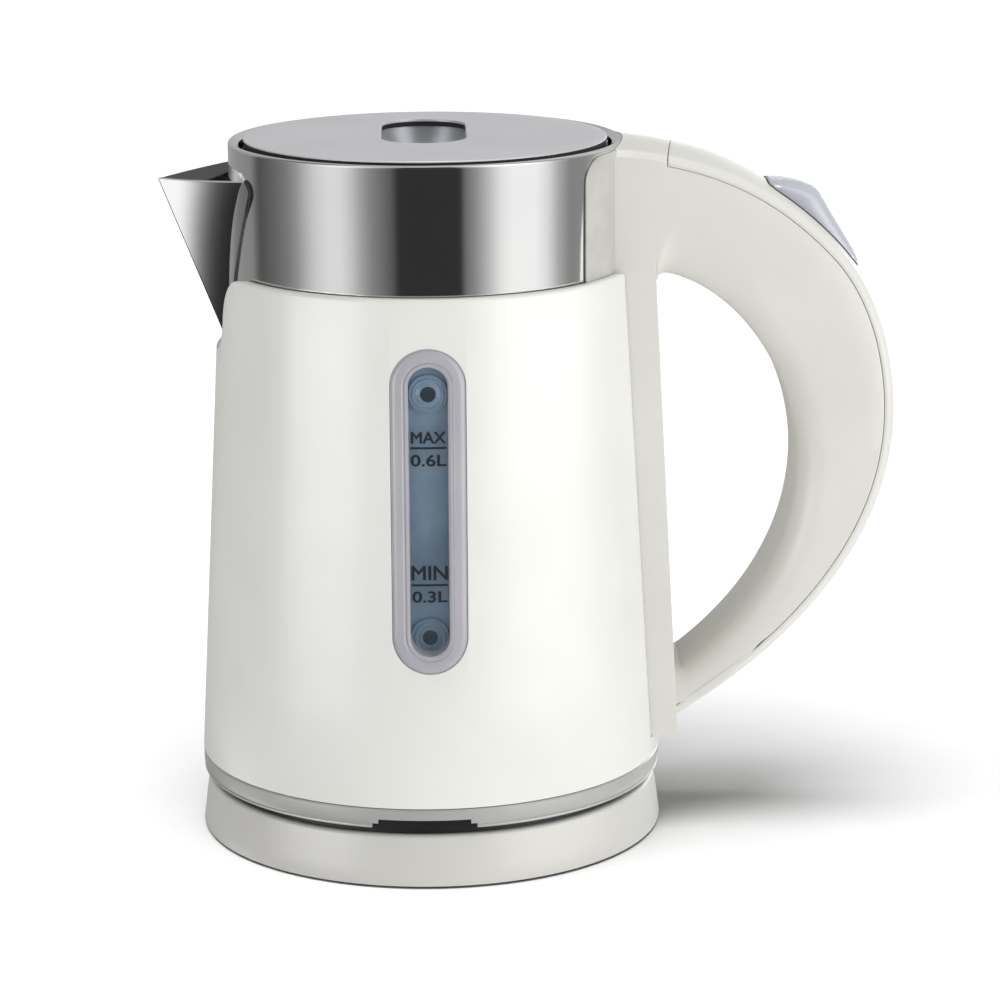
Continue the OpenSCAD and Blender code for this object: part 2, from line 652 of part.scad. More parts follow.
// Everything within the shell's outer surface moved out by grow
module inside_front(grow) {
    rotate_extrude() polygon([[0, 40], [shell_r(40) + grow, 40], [shell_r(150) + grow, 150], [0, 150]]);
}
module gauge_window() color(gauge_blue, 0.6) {
    difference() {
        intersection() {
            inside_front(gauge_proud);
            front_stadium(gauge_half_w, gauge_low_z, gauge_top_z, -shell_low_r - 5, 0);
        }
        disc(back_in_r, 0, 200);
        intersection() {
            disc(back_out_r + face_gap, 0, 200);
            front_stadium(back_half_w + 0.1, gauge_low_z + 1, gauge_top_z - 1, -shell_low_r - 5, 0);
        }
        intersection() {
            inside_front(gauge_proud - window_wall);
            front_stadium(channel_half_w, gauge_low_z + 4.5, gauge_top_z - 5.1, -shell_low_r - 5, 0);
        }
    }
}
module gauge_back() color(gauge_blue) difference() {
    intersection() {
        ring(back_in_r, back_out_r, gauge_low_z, gauge_top_z);
        front_stadium(back_half_w, gauge_low_z + 1.1, gauge_top_z - 1.1, -shell_low_r - 5, 0);
    }
    nozzle_holes(back_in_r - 8, 12);
}
module gauge_seals() color("#c9cdd0") for (z = nozzle_zs) intersection() {
    ring(pot_r + face_gap, back_in_r - face_gap, z - 6, z + 6);
    translate([0, -pot_r + 6, z]) rotate([90, 0, 0]) difference() {
        cylinder(r = 5.2, h = 12);
        translate([0, 0, -1]) cylinder(r = nozzle_r + 0.1, h = 14);
    }
}
module gauge_nozzles() color(steel) for (z = nozzle_zs) translate([0, 0, z]) rotate([90, 0, 0]) difference() {
    union() {
        translate([0, 0, pot_r - 3.6]) cylinder(r = nozzle_r, h = back_out_r - pot_r + 3.7);
        translate([0, 0, back_out_r + 0.05]) cylinder(r = 3.4, h = 0.7);
    }
    translate([0, 0, pot_r - 5]) cylinder(r = nozzle_bore_r, h = 12);
}
module gauge_nuts() color(steel) for (z = nozzle_zs) translate([0, 0, z]) rotate([90, 0, 0]) difference() {
    translate([0, 0, pot_r - pot_wall - 2.7]) cylinder(r = 4.6, h = 2.4, $fn = 6);
    translate([0, 0, pot_r - 5]) cylinder(r = nozzle_r + face_gap, h = 12);
}

// ---- Handle ----
module handle_strap() color(zinc) {
    difference() {
        intersection() {
            ring(pot_r + face_gap, strap_r, strap_low, stud_zs[1] + 5);
            translate([0, -strap_half_w, 0]) cube([pot_r + 5, 2 * strap_half_w, 200]);
        }
        translate([pot_r - 5, 0, steam_z]) rotate([0, 90, 0]) cylinder(r = tube_r + 0.2, h = 12);
    }
    for (k = [0, 1]) translate([pot_r + 0.6, 0, stud_zs[k]]) rotate([0, 90, 0])
        cylinder(r = stud_r, h = stud_end_x(k) - pot_r - 0.6);
}
function stud_seat_x(k) = k == 0 ? loop_wall_x : root_wall_x;
function stud_end_x(k) = stud_seat_x(k) + 3;
module handle_nuts() color(zinc) for (k = [0, 1]) translate([stud_seat_x(k) + face_gap, 0, stud_zs[k]])
    rotate([0, 90, 0]) difference() {
        cylinder(r = nut_r, h = 2.2, $fn = 6);
        translate([0, 0, -1]) cylinder(r = stud_r + face_gap, h = 5);
    }
// Height of the outer edge over the root at x
function back_z(x) = let (i = max([for (k = [0:bezier_steps]) if (handle_back[k][0] <= x) k]),
    a = handle_back[i], b = handle_back[i + 1]) a[1] + (b[1] - a[1]) * (x - a[0]) / (b[0] - a[0]);
// Side outline of the loop under the cover: over the back to the foot and back along the finger gap
module loop_outline() polygon(concat(
    [[root_x, gap_corner[4][1]], [root_x, handle_back[0][1] - cover_t - cover_gap]],
    beside(handle_back, -cover_t - cover_gap), [[column_reach - 3, 34]], [[column_reach - 3, foot_top_z]],
    reversed(handle_gap), gap_corner));
module loop_cavity() polygon(concat(
    [[root_wall_x, 158], [root_wall_x, 180.4]],
    [for (p = beside(handle_back, -handle_wall - cover_t))
        if (p[0] > root_wall_x && p[0] < ledge_end_x && p[1] > 100) p],
    [for (p = beside(handle_back, 1)) if (p[0] > ledge_end_x + 2) p],
    [[loop_wall_x, 36.6], [loop_wall_x, 42]],
    [for (p = reversed(beside(handle_gap, handle_wall))) if (p[0] > column_reach + 0.5) p]));
// Everything on the pot's side of the joint between the root and the cover, moved out by shift
module pot_side(shift) {
    translate([seam_x + shift, 0, 120]) rotate([0, 0, -seam_turn])
        translate([-60, -60, 0]) cube([60, 120, 120]);
}
// The root's upper part, crowned and bevelled in line with the cover
module root_top() {
    top = handle_back[0][1];
    fall = atan2(top - back_z(ledge_end_x - 2), ledge_end_x - 2 - handle_back[0][0]);
    flat_w = handle_half_w - handle_bevel;
    crown_r = (flat_w * flat_w + cover_crown * cover_crown) / (2 * cover_crown);
    difference() {
        intersection() {
            translate([root_x, -handle_half_w, top - 20]) cube([30, 2 * handle_half_w, 30]);
            translate([handle_back[0][0] - crown_r * sin(fall), 0, top + cover_crown - crown_r * cos(fall)])
                rotate([0, 90 + fall, 0]) translate([0, 0, -20]) cylinder(r = crown_r, h = 80, $fn = 400);
            pot_side(0);
        }
        for (side = [0, 1]) mirror([0, side, 0]) translate([handle_back[0][0], handle_half_w, top])
            rotate([0, fall, 0]) translate([-10, 0, -handle_bevel]) rotate([45, 0, 0])
                translate([0, 0, -5]) cube([60, 10, 10]);
    }
}
module column_block(half_w, x_from, face_inset, z0, z1) {
    translate([column_reach - face_inset, 0, column_foot_z]) rotate([0, -column_lean, 0])
        translate([x_from - column_reach, -half_w, z0 - column_foot_z])
            cube([column_reach - x_from, 2 * half_w, z1 - z0]);
}
// The column on the body, a hair narrower than the loop so that their sides don't fall in one plane
module column() {
    edge = column_edge_r;
    half_w = handle_half_w - eps;
    z1 = column_top_z;
    translate([column_reach, 0, column_foot_z]) rotate([0, -column_lean, 0]) difference() {
        translate([-22, -half_w, 0]) cube([22, 2 * half_w, z1 - column_foot_z]);
        for (side = [-1, 1]) translate([-edge, side * (half_w - edge), -1]) difference() {
            translate([0, side > 0 ? 0 : -edge - 1, 0]) cube([edge + 1, edge + 1, z1]);
            translate([0, 0, -1]) cylinder(r = edge, h = z1 + 4);
        }
        translate([-column_low_corner, -half_w - 1, column_low_corner]) rotate([-90, 0, 0])
            difference() {
                cube([column_low_corner + 1, column_low_corner + 1, 2 * half_w + 2]);
                translate([0, 0, -1]) cylinder(r = column_low_corner, h = 2 * half_w + 4);
            }
    }
}
module handle_body() color(white) {
    difference() {
        union() {
            difference() {
                column();
                column_block(handle_half_w - handle_wall, 30, handle_wall, column_foot_z + handle_wall, column_top_z + 4);
            }
            difference() {
                union() {
                    slab_xz(handle_half_w) loop_outline();
                    root_top();
                }
                slab_xz(handle_half_w - handle_wall) loop_cavity();
                column_block(handle_half_w - handle_wall, 30, handle_wall, column_foot_z + handle_wall, column_top_z);
            }
            root_flange();
        }
        disc(pot_r + 2 * face_gap, 0, 250);
        // room for the strap, its studs, the steam tube and the leads
        intersection() {
            disc(strap_r + 0.15, 0, stud_zs[1] + 5.3);
            translate([0, -strap_half_w - 0.3, 0]) cube([100, 2 * strap_half_w + 0.6, 250]);
        }
        disc(shell_r(100) - shell_wall - 1.5, 0, 100);
        disc(shell_low_r, 0, column_foot_z - face_gap);
        for (z = stud_zs) translate([pot_r, 0, z]) rotate([0, 90, 0]) cylinder(r = stud_r + 0.1, h = 15);
        translate([pot_r, 0, steam_z]) rotate([0, 90, 0]) cylinder(r = tube_r + 0.1, h = 10);
        for (side = [-1, 1]) translate([column_reach - 6, side * lead_y, 38.6]) rotate([0, 90, 0])
            cylinder(r = 2.4, h = 7.5);
    }
}
module root_flange() {
    corner = 6.5;
    top = handle_back[0][1] - 0.4;
    low = shell_top_z + 0.4;
    intersection() {
        ring(pot_r + 2 * face_gap, pot_r + 2 * face_gap + flange_t, low, top);
        rotate([90, 0, 90]) linear_extrude(2 * pot_r) union() {
            translate([-flange_half_w, low]) square([2 * flange_half_w, top - corner - low]);
            translate([-flange_half_w + corner, low]) square([2 * (flange_half_w - corner), top - low]);
            for (side = [-1, 1]) translate([side * (flange_half_w - corner), top - corner]) circle(corner);
        }
    }
}
// Cross-section of the cover strip as [sideways, outwards]
function cover_section() = let (flat_w = handle_half_w - handle_bevel, n = 6) concat(
    [[-handle_half_w, -cover_t], [-handle_half_w, -handle_bevel]],
    [for (i = [0:n]) let (y = flat_w * (2 * i / n - 1)) [y, cover_crown * (1 - pow(y / flat_w, 2))]],
    [[handle_half_w, -handle_bevel], [handle_half_w, -cover_t]]);
module handle_cover() color(white) {
    section = cover_section();
    m = len(section);
    line = [for (p = handle_back) if (p[0] > root_x + 6 || p[1] < 100) p];
    n = len(line);
    difference() {
        polyhedron([for (i = [0:n - 1]) let (a = along(line, i), out = [-a[1], a[0]]) for (q = section)
                [line[i][0] + out[0] * q[1], q[0], line[i][1] + out[1] * q[1]]],
            concat([[for (k = [m - 1:-1:0]) k]], [[for (k = [0:m - 1]) (n - 1) * m + k]],
                [for (i = [0:n - 2]) for (k = [0:m - 1]) let (j = (k + 1) % m)
                    [i * m + k, i * m + j, (i + 1) * m + j, (i + 1) * m + k]]));
        in_switch_frame() translate([-rocker_half_l - slot_gap - 0.4, -rocker_w / 2 - 0.4, -8])
            cube([2 * rocker_half_l + 2 * slot_gap + 0.8, rocker_w + 0.8, 20]);
        // pocket over the housing's ears
        in_switch_frame() translate([-ear_half_l - fit_gap, -ear_reach - fit_gap, -10])
            cube([2 * (ear_half_l + fit_gap), 2 * (ear_reach + fit_gap), 10 + ear_top + fit_gap]);
        pot_side(cover_gap);
        // the strip's end stays clear of the column
        column_block(40, 30, -cover_gap, 20, 60);
    }
}
module steam_tube() color("#e8e6e0") translate([pot_r + 0.1, 0, steam_z]) rotate([0, 90, 0])
    ring(tube_bore_r, tube_r, 0, tube_end_x - pot_r);

// ---- Switch ----
module switch_housing() color(black) in_switch_frame() difference() {
    union() {
        translate([-housing_half_l, -housing_half_w, housing_low])
            cube([2 * housing_half_l, 2 * housing_half_w, housing_top - housing_low]);
        for (side = [-1, 1])
            translate([-ear_half_l, side * (ear_reach - ear_half_t) - ear_half_t, housing_top - eps])
                cube([2 * ear_half_l, 2 * ear_half_t, ear_top - housing_top]);
    }
    translate([0, 20, pin_z]) rotate([90, 0, 0]) cylinder(r = pin_r + 0.02, h = 40);
    // chambers for the bimetal disc and the contacts
    translate([-housing_half_l + 1.6, -9, housing_low + 1.5]) cube([9.4, 18, 20]);
    translate([1, -9, housing_low + 1.5]) cube([10, 18, 20]);
    translate([-housing_half_l - 1, 0, housing_low + 6]) rotate([0, 90, 0]) cylinder(r = 2.4, h = 4);
}
module steam_disc() color(zinc) in_switch_frame() translate([-housing_half_l + 4.2, 0, housing_low + 8.2])
    rotate([0, 90, 0]) cylinder(r = 6.6, h = 0.6);
module switch_contacts() color(brass) in_switch_frame() for (side = [-1, 1])
    translate([3, side * 5 - 2, housing_low + 1.5]) {
        cube([6, 4, 0.6]);
        translate([5.4, 0, 0]) cube([0.6, 4, 5]);
    }
module toggle_spring() color(zinc) in_switch_frame() translate([-1, -3, housing_low + 1.5 + 0.7 + 8]) {
    translate([2.2, 0, -8.7]) cube([0.5, 6, 8]);
}
module rocker_pin() color(zinc) in_switch_frame() translate([0, rocker_w / 2 + 2.3, pin_z]) rotate([90, 0, 0])
    cylinder(r = pin_r, h = rocker_w + 4.6);
module switch_leads() color("#7a2f2a") for (side = [-1, 1]) lead(lead_route, side * lead_y, lead_r);
module switch_rocker() color("#b4b7bf") in_switch_frame() difference() {
    union() {
        translate([0, rocker_w / 2, 0]) rotate([90, 0, 0]) linear_extrude(rocker_w) polygon(concat(
            [[-rocker_half_l, -rocker_skirt], [-rocker_half_l, 0.2]],
            [for (s = [0.125:0.125:1]) [-rocker_half_l + 12.5 * s, 0.2 + (rocker_crest - 0.2) * sin(90 * s)]],
            [[-2.4, rocker_crest - 0.3], [rocker_half_l - 1.9, 2.5]],
            arc([rocker_half_l - 2.2, 0.6], 2.2, 50, 0, 3), [[rocker_half_l, -rocker_skirt]]));
        translate([0, rocker_w / 2, pin_z]) rotate([90, 0, 0]) cylinder(r = rocker_hub_r, h = rocker_w);
    }
    translate([0, 20, pin_z]) rotate([90, 0, 0]) cylinder(r = pin_r + pin_gap, h = 40);
}

// ---- Lid ----
module lid_cover() color(lid_grey) {
    difference() {
        union() {
            rotate_extrude() polygon(concat([[0, lid_under], [lid_r, lid_under]],
                arc([lid_r - lid_edge_r, lid_top - lid_edge_r], lid_edge_r, 0, 90, 4), [[0, lid_top]]));
            around(lid_screw_angles, lid_screw_orbit)
                disc(boss_r, plug_low + plug_floor_t + face_gap, lid_under + eps);
        }
        grip_stadium(0, lid_top - 5, lid_top + 1);
        grip_stadium(2.8, lid_under - 1, lid_top - grip_lip);
        around(lid_screw_angles, lid_screw_orbit) disc(screw_hole_r, 0, lid_under - 1);
    }
    // lug that centres the lid in the mouth
    rotate([0, 0, -6.5]) translate([lid_r - 1, -1, lid_under]) cube([1 + mouth_r - lid_r - fit_gap, 2, 1.2]);
}
module grip_cup() color("#8b949e") difference() {
    grip_stadium(1.2 + cup_wall, plug_low + plug_floor_t, cup_top);
    grip_stadium(1.2, plug_low + plug_floor_t + 1.2, cup_top + 1);
}
module lid_plug() color(white) difference() {
    union() {
        disc(plug_r, plug_low, plug_low + plug_floor_t);
        ring(plug_r - plug_wall, plug_r, plug_low, lid_under);
        ring(plug_r - plug_wall, mouth_r - 1.2, seal_low - 1.2, seal_low);
    }
    around(lid_screw_angles, lid_screw_orbit) disc(screw_hole_r, 0, 400);
}
module lid_seal() color("#dcdad4") ring(plug_r + face_gap, mouth_r - fit_gap, seal_low, seal_low + seal_h);
module lid_plate() color(steel) difference() {
    disc(plug_r - 1, plug_low - lid_plate_t, plug_low);
    around(lid_screw_angles, lid_screw_orbit) disc(screw_hole_r, 0, 400);
}
module lid_screws() color(zinc) around(lid_screw_angles, lid_screw_orbit)
    screw(plug_low - lid_plate_t - screw_head_h, 12);

base_cover();
base_plate();
foot_ring();
base_connector();
base_contacts();
base_screws();
socket_housing();
socket_contacts();
pot();
spout();
outer_shell();
shell_seal();
trim_ring();
jug_base();
jug_screws();
heater_plate();
heating_element();
control_unit();
dry_boil_discs();
control_screws();
gauge_window();
gauge_back();
gauge_seals();
gauge_nozzles();
gauge_nuts();
handle_strap();
handle_nuts();
handle_body();
handle_cover();
steam_tube();
switch_housing();
steam_disc();
switch_contacts();
toggle_spring();
rocker_pin();
switch_leads();
switch_rocker();
lid_cover();
grip_cup();
lid_plug();
lid_seal();
lid_plate();
lid_screws();
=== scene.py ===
import bpy
import bmesh
import math
from mathutils import Matrix, Vector


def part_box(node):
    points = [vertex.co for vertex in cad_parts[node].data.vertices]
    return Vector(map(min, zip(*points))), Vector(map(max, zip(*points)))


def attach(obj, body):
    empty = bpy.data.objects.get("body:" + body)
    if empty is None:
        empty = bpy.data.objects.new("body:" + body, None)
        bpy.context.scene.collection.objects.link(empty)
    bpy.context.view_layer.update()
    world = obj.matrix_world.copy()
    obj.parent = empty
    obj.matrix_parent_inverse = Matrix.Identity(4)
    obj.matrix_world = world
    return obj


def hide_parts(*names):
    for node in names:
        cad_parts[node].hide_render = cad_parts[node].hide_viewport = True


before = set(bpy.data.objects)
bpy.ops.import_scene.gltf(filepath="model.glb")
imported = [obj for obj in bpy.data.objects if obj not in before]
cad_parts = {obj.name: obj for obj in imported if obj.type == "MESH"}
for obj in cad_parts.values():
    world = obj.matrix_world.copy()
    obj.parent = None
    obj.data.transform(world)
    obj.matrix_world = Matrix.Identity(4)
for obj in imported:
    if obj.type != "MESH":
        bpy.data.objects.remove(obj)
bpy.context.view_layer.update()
scene = bpy.context.scene


# Corners of a node's box; shapes are drawn in millimetres and scaled down when finished
def lowMm(node):
    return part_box(node)[0] * 1000


def highMm(node):
    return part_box(node)[1] * 1000


print("frame loaded:", len(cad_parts), "nodes")

# lengths in mm and turns in degrees; the shift is a share of the sensor's width
camera = {"distance": 930.9, "height": 316.2, "pan": 1.164, "pitch": 13.755, "roll": 0.338,
          "lens": 127.81, "sensor": 36, "shift": 0.001}


def aimCamera():
    pan, pitch, roll = (math.radians(camera[key]) for key in ("pan", "pitch", "roll"))
    ahead = Vector((math.sin(pan) * math.cos(pitch), math.cos(pan) * math.cos(pitch), -math.sin(pitch)))
    right = Vector((math.cos(pan), -math.sin(pan), 0))
    up = right.cross(ahead)
    across = right * math.cos(roll) - up * math.sin(roll)
    upright = right * math.sin(roll) + up * math.cos(roll)
    data = bpy.data.cameras.new("studioCamera")
    data.lens = camera["lens"]
    data.sensor_width = camera["sensor"]
    data.shift_x = camera["shift"]
    data.clip_start = 0.01
    shot = bpy.data.objects.new("studioCamera", data)
    scene.collection.objects.link(shot)
    place = Matrix((across, upright, -ahead)).transposed().to_4x4()
    place.translation = Vector((0, -camera["distance"], camera["height"])) / 1000
    shot.matrix_world = place
    scene.camera = shot


aimCamera()
print("camera aimed")

# places and sizes in metres
studio = {
    "overhead": 0.5,  # brightness straight above
    "skylight": (0.34, 0.43),  # what dull surfaces receive, from the left and from the right
    "skyGain": 1.3,  # how much brighter the upper half is than the lower
    # upward slopes between which table turns to walls, walls turn to overhead, and the gain sets in
    "tableEdge": (-0.4, -0.3), "overheadEdge": (0.9, 0.98), "gainEdge": (-0.1, 0.3),
    # brightness of the studio's walls by compass angle from the front, as upright polished steel shows them
    "walls": [(-180, 0.42), (-140, 0.33), (-122, 0.3), (-115, 0.14), (-112, 0.105), (-98, 0.17), (-88, 0.25),
              (-80, 0.38), (-74, 0.58), (-66, 0.82), (-57, 0.965), (-50, 0.94), (-44, 0.75), (-38, 0.49),
              (-32, 0.31), (-24, 0.19), (-19.5, 0.13), (-16, 0.038), (20, 0.038), (22.5, 0.19), (29, 0.36),
              (36, 0.64), (44, 1.05), (51, 1.19), (66, 1.2), (74, 1.0), (83, 0.53), (92, 0.3), (106, 0.32),
              (130, 0.6), (180, 0.42)],
    # the same for what the steel shows of the table, seen where it leans outwards
    "table": [(-180, 0.04), (-134, 0.04), (-125, 1.3), (-109, 1.3), (-105.5, 1.0), (-102.5, 0.66),
              (-100, 0.4), (-97.5, 0.22), (-94.5, 0.11), (-91.5, 0.055), (-89, 0.034), (-84.5, 0.028),
              (-70, 0.03), (-30, 0.2), (0, 0.3), (60, 0.5), (95, 0.6), (140, 1.0), (158, 0.8), (170, 0.04),
              (180, 0.04)],
    # soft overhead sun: direction it comes from, width of its disc in degrees, strength
    "sun": ((-0.08, -0.22, 0.97), 46, 7.2),
    # height that the lamps are aimed at
    "aimZ": 0.09,
    # lamps that light everything but the floor: place, side of the square, power
    "lamps": [("rightLamp", (0.95, -0.75, 0.35), 0.5, 5.0), ("topLamp", (0, 0, 1.15), 0.35, 3.4)],
    # cards that only give the plastic its long highlights: compass angle, distance, foot, head, width and
    # brightness
    "cards": [("leftCard", -56, 1.0, -0.1, 0.27, 0.75, 4.7), ("rightCard", 62, 1.0, -0.1, 0.27, 1.2, 2.7),
              ("backCard", 150, 1.0, -0.13, 0.27, 0.9, 3.0)],
}


def addNode(tree, kind, settings=None, feeds=None):
    node = tree.nodes.new(kind)
    for key, value in (settings or {}).items():
        if isinstance(key, int) or key in node.inputs:
            node.inputs[key].default_value = value
        else:
            setattr(node, key, value)
    for socket, source in (feeds or {}).items():
        tree.links.new(source, node.inputs[socket])
    return node


def fillRamp(node, stops):
    ramp = node.color_ramp
    while len(ramp.elements) > 1:
        ramp.elements.remove(ramp.elements[-1])
    ramp.elements[0].position, ramp.elements[0].color = stops[0]
    for position, colour in stops[1:]:
        ramp.elements.new(position).color = colour


# the sun only falls on the floor, so that the shadow is drawn without flattening the white plastic
floorLight = bpy.data.collections.new("floorLight")
notFloor, notSteel = bpy.data.collections.new("notFloor"), bpy.data.collections.new("notSteel")


def leaveOut(thing, *groups):
    for group in groups:
        group.objects.link(thing)
        group.collection_objects[-1].light_linking.link_state = "EXCLUDE"


def addLight(name, kind, place, receivers, **settings):
    data = bpy.data.lights.new(name, kind)
    for key, value in settings.items():
        setattr(data, key, value)
    light = bpy.data.objects.new(name, data)
    scene.collection.objects.link(light)
    light.matrix_world = place
    light.light_linking.receiver_collection = receivers
    return light


def addLamp(name, place, aimZ, wide, high, power, receivers):
    aimed = (Vector((0, 0, aimZ)) - place).to_track_quat("-Z", "Y").to_matrix().to_4x4()
    return addLight(name, "AREA", Matrix.Translation(place) @ aimed, receivers,
                    shape="RECTANGLE", size=wide, size_y=high, energy=power)


def lightStudio():
    world = bpy.data.worlds.new("studio")
    scene.world = world
    world.use_nodes = True
    tree = world.node_tree
    tree.nodes.clear()
    direction = addNode(tree, "ShaderNodeTexCoord")
    x, y, z = addNode(tree, "ShaderNodeSeparateXYZ", feeds={0: direction.outputs["Generated"]}).outputs
    front = addNode(tree, "ShaderNodeMath", {"operation": "MULTIPLY", 1: -1}, {0: y})
    compass = addNode(tree, "ShaderNodeMath", {"operation": "ARCTAN2"}, {0: x, 1: front.outputs[0]})
    turn = addNode(tree, "ShaderNodeMapRange", {"From Min": -math.pi, "From Max": math.pi},
                   {"Value": compass.outputs[0]})
    rounds = []
    for key in ("table", "walls"):
        rounds.append(addNode(tree, "ShaderNodeValToRGB", feeds={0: turn.outputs[0]}))
        # greys with a trace of blue
        fillRamp(rounds[-1], [((a + 180) / 360, (b, b, b * 1.01, 1)) for a, b in studio[key]])
    table, walls = rounds
    low, high = studio["tableEdge"]
    level = addNode(tree, "ShaderNodeMapRange", {"From Min": low, "From Max": high}, {"Value": z})
    sides = addNode(tree, "ShaderNodeMix", {"data_type": "RGBA"},
                    {0: level.outputs[0], 6: table.outputs[0], 7: walls.outputs[0]})
    low, high = studio["overheadEdge"]
    rise = addNode(tree, "ShaderNodeMapRange", {"From Min": low, "From Max": high}, {"Value": z})
    seen = addNode(tree, "ShaderNodeMix", {"data_type": "RGBA", 7: (studio["overhead"],) * 3 + (1,)},
                   {0: rise.outputs[0], 6: sides.outputs[2]})
    path = addNode(tree, "ShaderNodeLightPath")
    left, right = studio["skylight"]
    dome = addNode(tree, "ShaderNodeMapRange",
                   {"From Min": -1, "From Max": 1, "To Min": left, "To Max": right}, {"Value": x})
    soft = addNode(tree, "ShaderNodeMix", {"data_type": "RGBA"},
                   {0: path.outputs["Is Diffuse Ray"], 6: seen.outputs[2], 7: dome.outputs[0]})
    # the camera itself sees plain white
    plain = addNode(tree, "ShaderNodeMix", {"data_type": "RGBA", 7: (1, 1, 1, 1)},
                    {0: path.outputs["Is Camera Ray"], 6: soft.outputs[2]})
    low, high = studio["gainEdge"]
    most = studio["skyGain"]
    gain = addNode(tree, "ShaderNodeMapRange",
                   {"From Min": low, "From Max": high, "To Min": 1, "To Max": most}, {"Value": z})
    sky = addNode(tree, "ShaderNodeBackground",
                  feeds={"Color": plain.outputs[2], "Strength": gain.outputs[0]})
    addNode(tree, "ShaderNodeOutputWorld", feeds={"Surface": sky.outputs[0]})
    toSun, width, strength = studio["sun"]
    tilt = Vector(toSun).to_track_quat("Z", "Y").to_matrix().to_4x4()
    addLight("overheadSun", "SUN", tilt, floorLight, angle=math.radians(width), energy=strength)
    for name, place, size, power in studio["lamps"]:
        # only the top lamp shows in the plastic, and never in the steel
        shows = name == "topLamp"
        lamp = addLamp(name, Vector(place), studio["aimZ"], size, size, power,
                       notSteel if shows else notFloor)
        lamp.visible_glossy = shows
    for name, angle, away, foot, head, wide, bright in studio["cards"]:
        middle = (foot + head) / 2
        place = Vector((away * math.sin(math.radians(angle)), -away * math.cos(math.radians(angle)), middle))
        power = bright * math.pi * wide * (head - foot)
        card = addLamp(name, place, middle, wide, head - foot, power, notSteel)
        card.visible_diffuse = False
        card.light_linking.blocker_collection = notFloor
    scene.view_settings.view_transform = "Standard"


lightStudio()
print("studio lit")


def linear(colour):
    parts = [int(colour[i:i + 2], 16) / 255 for i in (1, 3, 5)]
    return tuple(c / 12.92 if c <= 0.04045 else ((c + 0.055) / 1.055) ** 2.4 for c in parts) + (1.0,)


def startFinish(name):
    finish = bpy.data.materials.new(name)
    finish.use_nodes = True
    tree = finish.node_tree
    tree.nodes.clear()
    return finish, tree, addNode(tree, "ShaderNodeTexCoord").outputs["Object"]


def endFinish(tree, settings, feeds):
    shader = addNode(tree, "ShaderNodeBsdfPrincipled", settings, feeds)
    addNode(tree, "ShaderNodeOutputMaterial", feeds={"Surface": shader.outputs[0]})


# Moulded plastic: two close tones drift over a few centimetres, gloss wanders a little, and the skin has a
# fine spark grain that breaks up its highlights.
def mouldedPlastic(name, light, deep, gloss, grainMm, grainDeep, driftMm=26, gentle=0.05, **extra):
    finish, tree, place = startFinish(name)
    drift = addNode(tree, "ShaderNodeTexNoise", {"Scale": 1000 / driftMm, "Detail": 2}, {"Vector": place})
    tone = addNode(tree, "ShaderNodeValToRGB", feeds={0: drift.outputs["Fac"]})
    fillRamp(tone, [(0.3, linear(deep)), (0.7, linear(light))])
    rubMm = 7
    rub = addNode(tree, "ShaderNodeTexNoise", {"Scale": 1000 / rubMm, "Detail": 4}, {"Vector": place})
    rough = addNode(tree, "ShaderNodeMapRange", {"To Min": gloss - gentle, "To Max": gloss + gentle},
                    {"Value": rub.outputs["Fac"]})
    grain = addNode(tree, "ShaderNodeTexNoise", {"Scale": 1000 / grainMm, "Detail": 2}, {"Vector": place})
    skin = addNode(tree, "ShaderNodeBump", {"Strength": 0.35, "Distance": grainDeep / 1000},
                   {"Height": grain.outputs["Fac"]})
    endFinish(tree, {"IOR": 1.5, **extra},
              {"Base Color": tone.outputs[0], "Roughness": rough.outputs[0], "Normal": skin.outputs[0]})
    return finish


# Sheet or turned metal: hairlines run round the part where stretch draws them out, so a highlight spreads a
# little across them, and the tone clouds over a couple of centimetres.
def workedMetal(name, light, deep, gloss, hairMm=0.3, stretch=1, hairDeep=0.0015, gentle=0.03):
    finish, tree, place = startFinish(name)
    pull = addNode(tree, "ShaderNodeMapping", {"Scale": (1, 1, stretch)}, {"Vector": place})
    hair = addNode(tree, "ShaderNodeTexNoise", {"Scale": 1000 / hairMm / stretch, "Detail": 3},
                   {"Vector": pull.outputs[0]})
    cloudMm = 18
    cloud = addNode(tree, "ShaderNodeTexNoise", {"Scale": 1000 / cloudMm, "Detail": 3}, {"Vector": place})
    tone = addNode(tree, "ShaderNodeValToRGB", feeds={0: cloud.outputs["Fac"]})
    fillRamp(tone, [(0.3, linear(deep)), (0.7, linear(light))])
    rough = addNode(tree, "ShaderNodeMapRange", {"To Min": gloss - gentle, "To Max": gloss + gentle},
                    {"Value": hair.outputs["Fac"]})
    skin = addNode(tree, "ShaderNodeBump", {"Strength": 0.3, "Distance": hairDeep / 1000},
                   {"Height": hair.outputs["Fac"]})
    endFinish(tree, {"Metallic": 1},
              {"Base Color": tone.outputs[0], "Roughness": rough.outputs[0], "Normal": skin.outputs[0]})
    return finish


# Braided glass-fibre sleeve: small diagonal checks, dull and a little fuzzy.
def braidedSleeve(name, light, deep, threadMm):
    finish, tree, place = startFinish(name)
    slant = addNode(tree, "ShaderNodeMapping", {"Rotation": (0.6, 0.8, 0.4)}, {"Vector": place})
    check = addNode(tree, "ShaderNodeTexVoronoi", {"Scale": 1000 / threadMm, "distance": "MANHATTAN"},
                    {"Vector": slant.outputs[0]})
    tone = addNode(tree, "ShaderNodeValToRGB", feeds={0: check.outputs["Distance"]})
    fillRamp(tone, [(0.1, linear(light)), (0.6, linear(deep))])
    skin = addNode(tree, "ShaderNodeBump", {"Strength": 0.6, "Distance": 0.08 / 1000},
                   {"Height": check.outputs["Distance"]})
    endFinish(tree, {"Roughness": 0.8, "Sheen Weight": 0.2},
              {"Base Color": tone.outputs[0], "Normal": skin.outputs[0]})
    return finish


